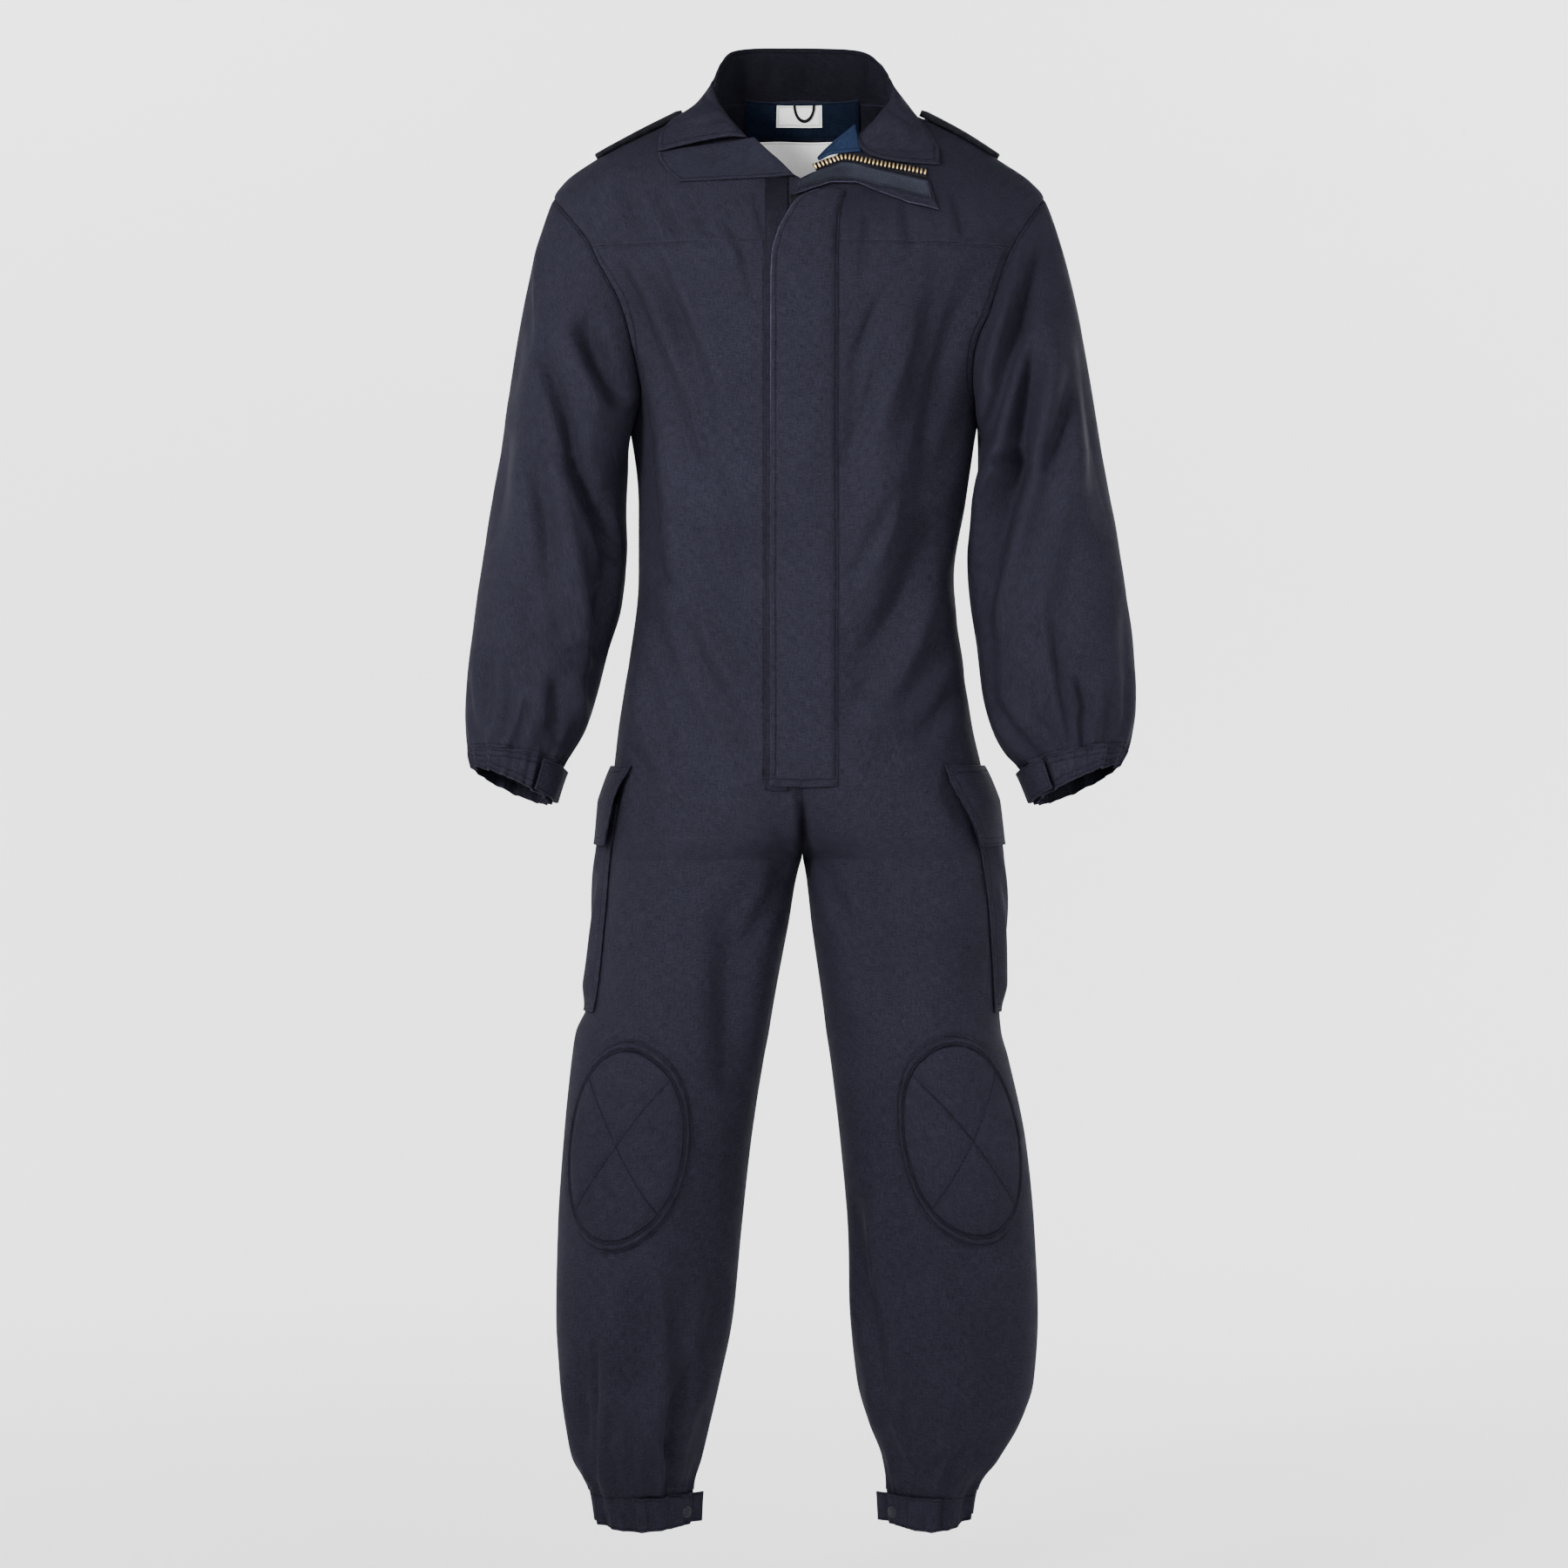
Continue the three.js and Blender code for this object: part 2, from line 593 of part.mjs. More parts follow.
function cuffOut(side, turn) {
  return new THREE.Vector3(sign(side) * Math.cos(deg(turn)), -Math.sin(deg(turn)), 0).normalize();
}

// Ankle bands

function ankleWave(angle, t) {
  return ANKLE_WAVE * Math.cos(deg(angle * ANKLE_WAVES)) * (0.5 + 0.5 * t);
}

// How far the band's free edge rises at the outer and the inner side of each leg.
const HEM_RISE = { right: { outer: 6, inner: 4 }, left: { outer: 13, inner: 5 } };

function hemRise(side, angle) {
  const across = Math.sin(deg(angle));
  return (across > 0 ? HEM_RISE[side].outer : HEM_RISE[side].inner) * across ** 2;
}

function ankleBand(side) {
  const turn = (j) => (j * 360) / ANKLE_COLUMNS;
  const height = (i, j) =>
    lerp(FRONT_FOOT - SEAM / 2, BAND_FOOT + hemRise(side, turn(j)), i / 2);
  const face = (lift) => (i, j) =>
    onBody(side, turn(j), height(i, j), ankleWave(turn(j), i / 2) - ANKLE_IN + lift);
  return wall(2, ANKLE_COLUMNS, face(0), face(-DOUBLE), "ring");
}

// The ankle tab lies on the front of its band, and its free end stands off the inner side.
const ANKLE_TAB = { from: 5, to: -88, top: FRONT_FOOT - 1, foot: BAND_FOOT + 2, columns: 8 };
const ANKLE_IN = 1; // how far the band is drawn in from the leg's own section
const ANKLE_LIFT = ANKLE_WAVE - ANKLE_IN + 0.5; // the tab's underside over the band's waves

function ankleTab(side) {
  const place = (u, v) => {
    const angle = lerp(ANKLE_TAB.from, ANKLE_TAB.to, v);
    const foot = ANKLE_TAB.foot + hemRise(side, angle);
    return { angle, z: lerp(ANKLE_TAB.top, foot, u), up: tabRise(v) };
  };
  return patch(side, 2, ANKLE_TAB.columns, place, ANKLE_LIFT, DOUBLE);
}

const STUD_SIDES = 16;

// A press stud: a low domed cap, turned about its own axis and set on the cloth.
function stud(point, normal) {
  const profile = [
    new THREE.Vector2(0, 0),
    new THREE.Vector2(6, 0),
    new THREE.Vector2(6, 0.8),
    new THREE.Vector2(5, 1.8),
    new THREE.Vector2(2.6, 2.3),
    new THREE.Vector2(0, 2.3),
  ];
  const shape = new THREE.LatheGeometry(profile, STUD_SIDES);
  shape.deleteAttribute("normal");
  shape.deleteAttribute("uv");
  const turned = new THREE.Quaternion().setFromUnitVectors(new THREE.Vector3(0, 1, 0), normal);
  shape.applyQuaternion(turned);
  shape.translate(point.x, point.y, point.z);
  return tidy(Array.from(shape.attributes.position.array), Array.from(shape.index.array));
}

const STUD_ANGLE = -60;

function ankleStud(side) {
  const z = (FRONT_FOOT + BAND_FOOT) / 2;
  const share = (STUD_ANGLE - ANKLE_TAB.from) / (ANKLE_TAB.to - ANKLE_TAB.from);
  const lift = ANKLE_LIFT + tabRise(share) + DOUBLE + 2 * SEAM;
  return stud(onBody(side, STUD_ANGLE, z, lift), bodyNormal(side, STUD_ANGLE, z));
}

// Knee pads: ovals quilted with a cross, raised over the front of each leg

const PAD = { wide: 72, tall: 110, rise: 2.6, border: 8, thick: 3, rings: 5, columns: 24 };
const PAD_PLACE = { right: { angle: 22, z: -1053 }, left: { angle: 21, z: -1047 } };

// A point of the pad's oval, by its share of the way out and its turn round the oval.
function onPad(side, share, v) {
  const { angle, z } = PAD_PLACE[side];
  const turn = 2 * Math.PI * v;
  const height = z + PAD.tall * share * Math.cos(turn);
  const across = PAD.wide * share * Math.sin(turn);
  const turned = THREE.MathUtils.radToDeg(across / halfSection(side, height).half);
  return { angle: angle + turned, z: height };
}

function kneePad(side) {
  return patch(
    side, PAD.rings, PAD.columns,
    (u, v) => {
      const quilted = u === 0 || Math.round(v * PAD.columns) % (PAD.columns / 4) === PAD.columns / 8;
      const rise = PAD.rise * clamp((1 - u) / 0.2, 0, 1) * (quilted ? 0.3 : 1);
      return { ...onPad(side, u * (1 - PAD.border / PAD.wide), v), more: rise };
    },
    CLEAR, CLOTH, "disc",
  );
}

// The bound border round a knee pad.
function kneeBorder(side) {
  const inner = 1 - (PAD.border - SEAM) / PAD.wide;
  const place = (u, v) => onPad(side, lerp(inner, 1, u), v);
  return patch(side, 1, PAD.columns, place, CLEAR, PAD.thick, "ring");
}

// Thigh pockets and their flaps, on the outer side of each leg

// Angles round the leg of the pocket's front edge, at its top and its foot, and of its back edge.
const POCKET = {
  right: { from: 66, fromFoot: 62, to: 158 },
  left: { from: 52, fromFoot: 64, to: 156 },
};
const POCKET_TOP = -700;
const POCKET_FOOT = -918;
const POCKET_RISE = 7; // how far the pocket's bag stands off the leg
const POCKET_FLAP = { top: -660, foot: -744, past: 4, over: 3 };

function pocket(side) {
  const { from, fromFoot, to } = POCKET[side];
  const place = (u, v) => {
    const inside = clamp(Math.min(v, 1 - v) / 0.14, 0, 1) * clamp((1 - u) / 0.12, 0, 1);
    const angle = lerp(lerp(from, fromFoot, u), to, v);
    return { angle, z: lerp(POCKET_TOP, POCKET_FOOT, u), up: POCKET_RISE * inside };
  };
  return patch(side, 9, 8, place, CLEAR, CLOTH);
}

function pocketFlap(side) {
  const { from, to } = POCKET[side];
  const { top, foot, past, over } = POCKET_FLAP;
  const place = (u, v) => ({
    angle: lerp(from - past, to + past, v),
    z: lerp(top, foot, u),
    up: (POCKET_RISE + over) * clamp(u / 0.45, 0, 1) ** 0.8,
  });
  return patch(side, 4, 8, place, CLEAR + SEAM, DOUBLE);
}

// Storm flap over the zip: fastened along its left edge, free along its right one

const FLAP = table("z free sewn rise", [
  [-681, -33, 36, 2.2],
  [-200, -33, 36, 2.2],
  [-170, -33, 36, 3],
  [-139, -32, 36, 4],
  [-114, -26, 37, 5],
  [-96, -17, 38, 6],
  [-79, -5, 41, 6],
  [-69, 14, 45, 5],
]);
const FLAP_ROWS = [
  FLAP_FOOT, -640, -590, -530, -470, -410, -350, -290, -240, -200, -170, -139, -114, -96, -79, -69,
];
const FLAP_COLUMNS = 4;

function stormFlap() {
  const flap = curves(FLAP, "z");
  const face = (lift) => (i, j) => {
    const z = FLAP_ROWS[i];
    const t = j / FLAP_COLUMNS;
    const over = flap.rise(z) * clamp((1 - t) / 0.4, 0, 1);
    return onFront(lerp(flap.free(z), flap.sewn(z), t), z, CLEAR + over + lift);
  };
  return wall(FLAP_ROWS.length - 1, FLAP_COLUMNS, face(DOUBLE), face(0));
}

// A strip that lies on the front between a top line and a foot line. The table's rows follow it.
function frontStrip(rows, across, lift, thick) {
  const face = (raise) => (i, j) => {
    const row = rows[i];
    const t = j / across;
    const edge = row.roll ? row.roll * Math.exp(-((t / 0.15) ** 2)) : 0;
    const x = lerp(row.topX, row.footX, t);
    const z = lerp(row.topZ, row.footZ, t);
    return onFront(x, z, lift + edge + (raise ? thick : 0));
  };
  return wall(rows.length - 1, across, face(true), face(false));
}

// The head of the storm flap, turned out with the left front so that its underside shows, the
// strip of loops sewn to it, and the zip's tape above it.
const FLAP_HEAD = table("topX topZ footX footZ", [
  [8, -50, 15, -66],
  [28, -42, 30, -66],
  [44, -37, 50, -66],
  [78, -44, 76, -69],
  [104, -50, 106, -79],
  [130, -55, 140, -88],
]);
const LOOP_STRIP = table("topX topZ footX footZ", [
  [14, -51, 18, -62],
  [30, -45, 32, -62],
  [46, -41, 50, -61],
  [78, -47, 77, -63],
  [104, -53, 105, -70],
  [128, -58, 132, -76],
]);
const ZIP_HEAD = table("topX topZ footX footZ", [
  [10, -39, 14, -46],
  [28, -32, 30, -40],
  [44, -28, 45, -35.5],
  [78, -34, 78, -42.5],
  [104, -37.5, 104, -48],
  [128, -41.5, 128, -53],
]);

// The facings of the fronts, turned out at the neck. The first line of each runs along the roll.
const LAPEL = {
  right: table("topX topZ footX footZ roll", [
    [-50, -12, -149, -23, 3],
    [-37, -25, -148, -31, 3],
    [-23, -38, -141, -42, 3],
    [-9, -53, -126, -57, 3],
  ]),
  left: table("topX topZ footX footZ roll", [
    [54, 3, 60, -25, 3],
    [38, -11, 44, -26.5, 3],
    [25, -23, 30, -28.5, 3],
    [15, -33, 17, -35, 1],
  ]),
};

// Zip tapes with their teeth, under the flap, and the slider at the point of the neck opening.
const ZIP = { wide: 13, foot: -672, top: -72, thick: 1.3, over: 0.8, rows: 12 };

function zipTape(side) {
  const face = (lift) => (i, j) => {
    const x = sign(side) * lerp(SEAM, ZIP.wide, j);
    return onFront(x, lerp(ZIP.foot, ZIP.top, i / ZIP.rows), ZIP.over + lift);
  };
  return wall(ZIP.rows, 1, face(ZIP.thick), face(0));
}

const SLIDER_THICK = 2.2;

function zipSlider() {
  const shape = table("z half", [
    [-88, 3],
    [-82, 5],
    [-77, 4.5],
  ]);
  const over = ZIP.over + ZIP.thick + SEAM;
  const face = (lift) => (i, j) => onFront(shape[i].half * (j - 1), shape[i].z, over + lift);
  return wall(2, 2, face(SLIDER_THICK), face(0));
}

// The shield behind the flap's free edge, which shows below the flap's foot.
const SHIELD = { from: -29, to: -15, foot: -687, top: -130, thick: 1.2, rows: 12 };

function underPlacket() {
  const height = (i) => lerp(SHIELD.foot, SHIELD.top, i / SHIELD.rows);
  const face = (lift) => (i, j) =>
    onFront(lerp(SHIELD.from, SHIELD.to, j), height(i), ZIP.over + lift);
  return wall(SHIELD.rows, 1, face(SHIELD.thick), face(0));
}

// Collar: stations from the right front end round the back to the left one. Each runs from the
// neck edge over a roll to the collar's free edge.
const COLLAR = {
  right: table("angle footUp rollX rollY rollZ edgeX edgeY edgeZ", [
    [15, 3.2, -70, -92, -4, -150, -72, -22],
    [20, 4, -76, -86, 16, -149, -62, -6],
    [28, 4, -82, -74, 34, -138, -50, 12],
    [42, 3, -88, -56, 52, -114, -26, 32],
    [68, 1, -89, -26, 64, -94, -4, 62],
    [100, 0.3, -86, 6, 74, -84, 16, 88],
    [126, 0.3, -74, 38, 80, -72, 42, 103],
    [154, 0.3, -42, 59, 82, -40, 60, 109],
  ]),
  left: table("angle footUp rollX rollY rollZ edgeX edgeY edgeZ", [
    [22, 3.2, 46, -92, -38, 141, -74, -38],
    [25, 4, 76, -84, 8, 141, -64, -20],
    [32, 4, 86, -70, 34, 130, -52, 2],
    [46, 3, 92, -50, 52, 114, -28, 28],
    [70, 1, 90, -22, 64, 95, -4, 58],
    [100, 0.3, 84, 6, 74, 83, 16, 84],
    [126, 0.3, 66, 38, 80, 65, 42, 102],
    [154, 0.3, 42, 59, 82, 42, 60, 108],
  ]),
};
const COLLAR_BACK = {
  angle: 180, footUp: 0.3, rollX: 0, rollY: 64, rollZ: 84, edgeX: 0, edgeY: 66, edgeZ: 110,
};
const COLLAR_ROWS = 6;

function collarStations() {
  const mark = (side) => COLLAR[side].map((row) => ({ ...row, side }));
  return [...mark("right"), { ...COLLAR_BACK, side: "left" }, ...mark("left").reverse()];
}

function collar() {
  const stations = collarStations();
  const grid = [];
  for (let i = 0; i <= COLLAR_ROWS; i += 1) {
    const t = i / COLLAR_ROWS;
    grid.push(
      stations.map((at) => {
        const foot = onBody(at.side, at.angle, neck.z(at.angle), at.footUp);
        foot.z += SEAM;
        const roll = new THREE.Vector3(at.rollX, at.rollY, at.rollZ);
        const edge = new THREE.Vector3(at.edgeX, at.edgeY, at.edgeZ);
        return restOnFront(new THREE.QuadraticBezierCurve3(foot, roll, edge).getPoint(t), 3.2);
      }),
    );
  }
  return shell(grid, DOUBLE);
}

// A wall round a grid of points, with half its thickness on either side.
function shell(grid, thick) {
  const last = grid.length - 1;
  const end = grid[0].length - 1;
  const at = (i, j) => grid[clamp(i, 0, last)][clamp(j, 0, end)];
  const face = (lift) => (i, j) => {
    const down = at(i + 1, j).clone().sub(at(i - 1, j));
    const along = at(i, j + 1).clone().sub(at(i, j - 1));
    return at(i, j).clone().addScaledVector(down.cross(along).normalize(), lift);
  };
  return wall(last, end, face(thick / 2), face(-thick / 2));
}

// What shows inside the back of the neck: a facing, the size label, the care label and a loop.
function backPatch(left, right, foot, top, depth, thick, columns) {
  const face = (extra) => (i, j) =>
    inBack(lerp(left, right, j / columns), lerp(foot, top, i / 2), depth + extra);
  return wall(2, columns, face(0), face(thick));
}

const LOOP = { left: -10, right: 15, top: 50, drop: 17, wide: 3, depth: 3.8 };

function hangingLoop() {
  const columns = 8;
  const middle = (LOOP.left + LOOP.right) / 2;
  const half = (LOOP.right - LOOP.left) / 2;
  const face = (extra) => (i, j) => {
    const turn = (Math.PI * j) / columns;
    const shrink = 1 - (i * LOOP.wide) / half;
    const x = middle - half * shrink * Math.cos(turn);
    const z = LOOP.top - (LOOP.drop - i * LOOP.wide) * Math.sin(turn);
    return inBack(x, z, LOOP.depth + extra);
  };
  return wall(1, columns, face(0), face(1.4));
}

// Shoulder tabs, which lie along the shoulders' ridges.
const EPAULETTE = { near: 23, far: -20, wide: 24, rise: 3.4, lift: 3 };

function epaulette(side) {
  return patch(
    side, 4, 4,
    (u, v) => {
      const z = lerp(EPAULETTE.near, EPAULETTE.far, u);
      const across = lerp(-EPAULETTE.wide, EPAULETTE.wide, v);
      const depth = across < 0 ? body.front(z) : body.back(z);
      const turn = Math.acos(clamp(power(-across / depth, body.square(z) / 2), -1, 1));
      const up = EPAULETTE.lift * (1 - u) ** 1.5;
      return { angle: THREE.MathUtils.radToDeg(turn), z, up };
    },
    CLEAR, EPAULETTE.rise,
  );
}

const NAVY = 0x20232f;
const BLUE = 0x263048;
const BLACK = 0x121216;
const WHITE = 0xe8e8e6;
const BRASS = 0xb08a4a;
const STUD = 0x55565c;
cloth("front_right", panel("right", "front"), NAVY);
cloth("front_left", panel("left", "front"), NAVY);
cloth("back_right", panel("right", "back"), NAVY);
cloth("back_left", panel("left", "back"), NAVY);
cloth("yoke", yoke(), NAVY);
for (const side of ["right", "left"]) {
  cloth("sleeve_" + side, sleeve(side), NAVY);
  cloth("cuff_" + side, cuff(side), NAVY);
  cloth("cuff_tab_" + side, cuffTab(side), NAVY);
  cloth("ankle_band_" + side, ankleBand(side), NAVY);
  cloth("ankle_tab_" + side, ankleTab(side), NAVY);
  cloth("ankle_stud_" + side, ankleStud(side), STUD, 0.4, 0.8);
  cloth("knee_pad_" + side, kneePad(side), NAVY);
  cloth("knee_border_" + side, kneeBorder(side), NAVY);
  cloth("zip_tape_" + side, zipTape(side), BLACK);
  cloth("epaulette_" + side, epaulette(side), BLACK);
  cloth("pocket_" + side, pocket(side), NAVY);
  cloth("pocket_flap_" + side, pocketFlap(side), NAVY);
}
cloth("storm_flap", stormFlap(), NAVY);
cloth("storm_flap_head", frontStrip(FLAP_HEAD, 2, CLEAR, DOUBLE), NAVY);
cloth("loop_strip", frontStrip(LOOP_STRIP, 2, CLEAR + DOUBLE + SEAM, 1.2), BLACK);
cloth("zip_head", frontStrip(ZIP_HEAD, 1, ZIP.over, ZIP.thick), BLACK);
cloth("zip_slider", zipSlider(), BRASS, 0.4, 0.8);
cloth("under_placket", underPlacket(), NAVY);
cloth("lapel_right", frontStrip(LAPEL.right, 6, CLEAR, DOUBLE), BLUE);
cloth("lapel_left", frontStrip(LAPEL.left, 4, CLEAR, DOUBLE), BLUE);
cloth("collar", collar(), NAVY);
cloth("neck_facing", backPatch(-62, 62, 16, 51, 0.6, 1, 8), BLUE);
cloth("neck_label", backPatch(-28, 22, 28, 49, 2.2, LABEL, 3), WHITE);
cloth("care_label", backPatch(-48, 42, -92, 13, 0.8, LABEL, 5), WHITE);
cloth("hanging_loop", hangingLoop(), BLACK);

export default meshes;
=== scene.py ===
import bpy
import numpy as np
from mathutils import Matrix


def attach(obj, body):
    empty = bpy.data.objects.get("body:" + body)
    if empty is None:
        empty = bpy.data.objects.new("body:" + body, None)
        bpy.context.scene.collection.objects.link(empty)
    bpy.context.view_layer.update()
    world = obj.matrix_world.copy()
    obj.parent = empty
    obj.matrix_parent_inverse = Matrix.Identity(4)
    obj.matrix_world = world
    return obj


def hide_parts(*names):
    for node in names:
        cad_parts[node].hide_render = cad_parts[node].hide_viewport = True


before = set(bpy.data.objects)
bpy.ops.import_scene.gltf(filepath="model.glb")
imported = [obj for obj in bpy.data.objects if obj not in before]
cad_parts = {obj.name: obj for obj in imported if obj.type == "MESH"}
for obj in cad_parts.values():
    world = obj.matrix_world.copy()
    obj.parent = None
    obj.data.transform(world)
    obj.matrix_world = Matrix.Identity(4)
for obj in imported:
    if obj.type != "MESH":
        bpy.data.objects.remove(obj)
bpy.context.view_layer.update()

bl_info = {
    "name": "Boiler suit",
    "version": (1, 0, 0),
    "blender": (4, 5, 0),
    "location": "View3D > Sidebar > Boiler suit",
    "description": "A hollow boiler suit of navy ripstop cloth, piece by piece",
    "category": "Object",
}

# Millimetres, as in the part: X to the wearer's left, Y to the back, Z up from the neck's foot.
MM = 0.001
CLOTH = 1.6
DOUBLE = 2.4
LABEL = 1.0
SEAM = 0.3
CLEAR = 1.1
ARMHOLE_TOP = -62
ARMHOLE_FOOT = -294
ARMHOLE_MIDDLE = (ARMHOLE_TOP + ARMHOLE_FOOT) / 2
ARMHOLE_HALF = (ARMHOLE_TOP - ARMHOLE_FOOT) / 2
ARMHOLE_FRONT = 33
ARMHOLE_BACK = 28
YOKE_TURN = 60
YOKE_SEAM = ARMHOLE_MIDDLE + ARMHOLE_HALF / 2
CROTCH = -757
FRONT_FOOT = -1426
BAND_FOOT = -1464
FLAP_FOOT = -681
SIDES = {"right": -1, "left": 1}

# The picture's point of view: as far in front of the suit, and level with this point of it
VIEW_BACK = 4200
VIEW_X = -19.3
VIEW_Z = -679


def table(names, rows):
    """The columns of a table by name."""
    return dict(zip(names.split(), np.array(rows, float).T))


BODY = table("z right_out right_in left_out left_in mid front back square", [
    [58, 60, -60, 60, -60, 0, 36, 58, 2.1],
    [40, 88, -88, 86, -86, 0, 44, 66, 2.1],
    [22, 130, -130, 128, -128, 0, 55, 76, 2.2],
    [0, 178, -178, 173, -173, 0, 69, 88, 2.2],
    [-23, 221, -221, 210, -210, 0, 82, 98, 2.2],
    [-46, 252, -252, 243, -243, 0, 92, 106, 2.2],
    [-62, 262, -262, 255, -255, 0, 98, 111, 2.2],
    [-120, 248, -248, 246, -246, 0, 116, 122, 2.2],
    [-178, 229, -229, 230, -230, 0, 127, 127, 2.2],
    [-236, 204, -204, 206, -206, 0, 131, 126, 2.2],
    [-294, 184, -184, 186, -186, 0, 131, 120, 2.2],
    [-385, 173, -173, 172, -172, 0, 127, 108, 2.2],
    [-460, 173, -173, 160, -160, 0, 123, 101, 2.2],
    [-552, 183, -183, 169, -169, 0, 122, 112, 2.2],
    [-621, 194, -194, 180, -180, 0, 122, 126, 2.2],
    [-665, 199, -190, 190, -180, 0, 121, 132, 2.2],
    [-700, 203, -100, 196, -98, 1, 119, 133, 2.2],
    [-732, 206, -36, 200, -35, 3, 116, 129, 2.2],
    [-757, 209, 0.2, 203, 0.2, 4, 113, 124, 2.1],
    [-830, 216, 15, 208, 10, 3, 109, 112, 2.1],
    [-915, 228, 31, 208, 22, 0, 105, 103, 2.1],
    [-940, 239, 35, 210, 25, -2, 104, 101, 2.1],
    [-966, 243, 40, 217, 29, -4, 103, 100, 2.1],
    [-1058, 252, 54, 236, 40, -8, 102, 98, 2.1],
    [-1150, 258, 64, 245, 48, -4, 97, 100, 2.1],
    [-1242, 260, 73, 249, 51, 2, 92, 100, 2.1],
    [-1310, 256, 87, 245, 58, 8, 86, 94, 2.1],
    [-1357, 250, 98, 229, 72, 12, 77, 84, 2.1],
    [-1392, 244, 107, 208, 86, 14, 64, 70, 2.1],
    [-1426, 226, 118, 186, 92, 15, 50, 53, 2.0],
    [-1464, 220, 120, 180, 94, 15, 47, 50, 2.0],
])

NECK = table("angle z", [
    [0, -54], [9, -24], [20, 2], [36, 21], [62, 33], [90, 38], [135, 48], [180, 54],
])

# The largest folds: from one end to the other, how wide and how deep. Front, then back.
FRONT_FOLDS = [
    [-205, -140, -150, -420, 17, -7],
    [-175, -120, -112, -470, 20, 6],
    [-150, -130, -66, -520, 18, -5],
    [190, -130, 120, -330, 18, -6],
    [150, -150, 70, -500, 20, 5],
    [80, -190, 52, -400, 14, -4],
    [-160, -560, -70, -690, 20, -4],
    [150, -560, 60, -690, 20, -4],
    [-222, -1240, -226, -1400, 12, -6],
    [-120, -1210, -140, -1400, 12, -5],
    [84, -1180, 110, -1400, 14, -6],
    [205, -1290, 172, -1400, 14, -6],
]
BACK_FOLDS = [
    [-150, -140, -110, -420, 22, -6],
    [150, -140, 110, -420, 22, -6],
    [0, -200, 0, -440, 26, -5],
    [-90, -400, -120, -560, 18, -6],
    [90, -400, 120, -560, 18, -6],
    [-60, -640, -110, -860, 20, -6],
    [60, -640, 110, -860, 20, -6],
]

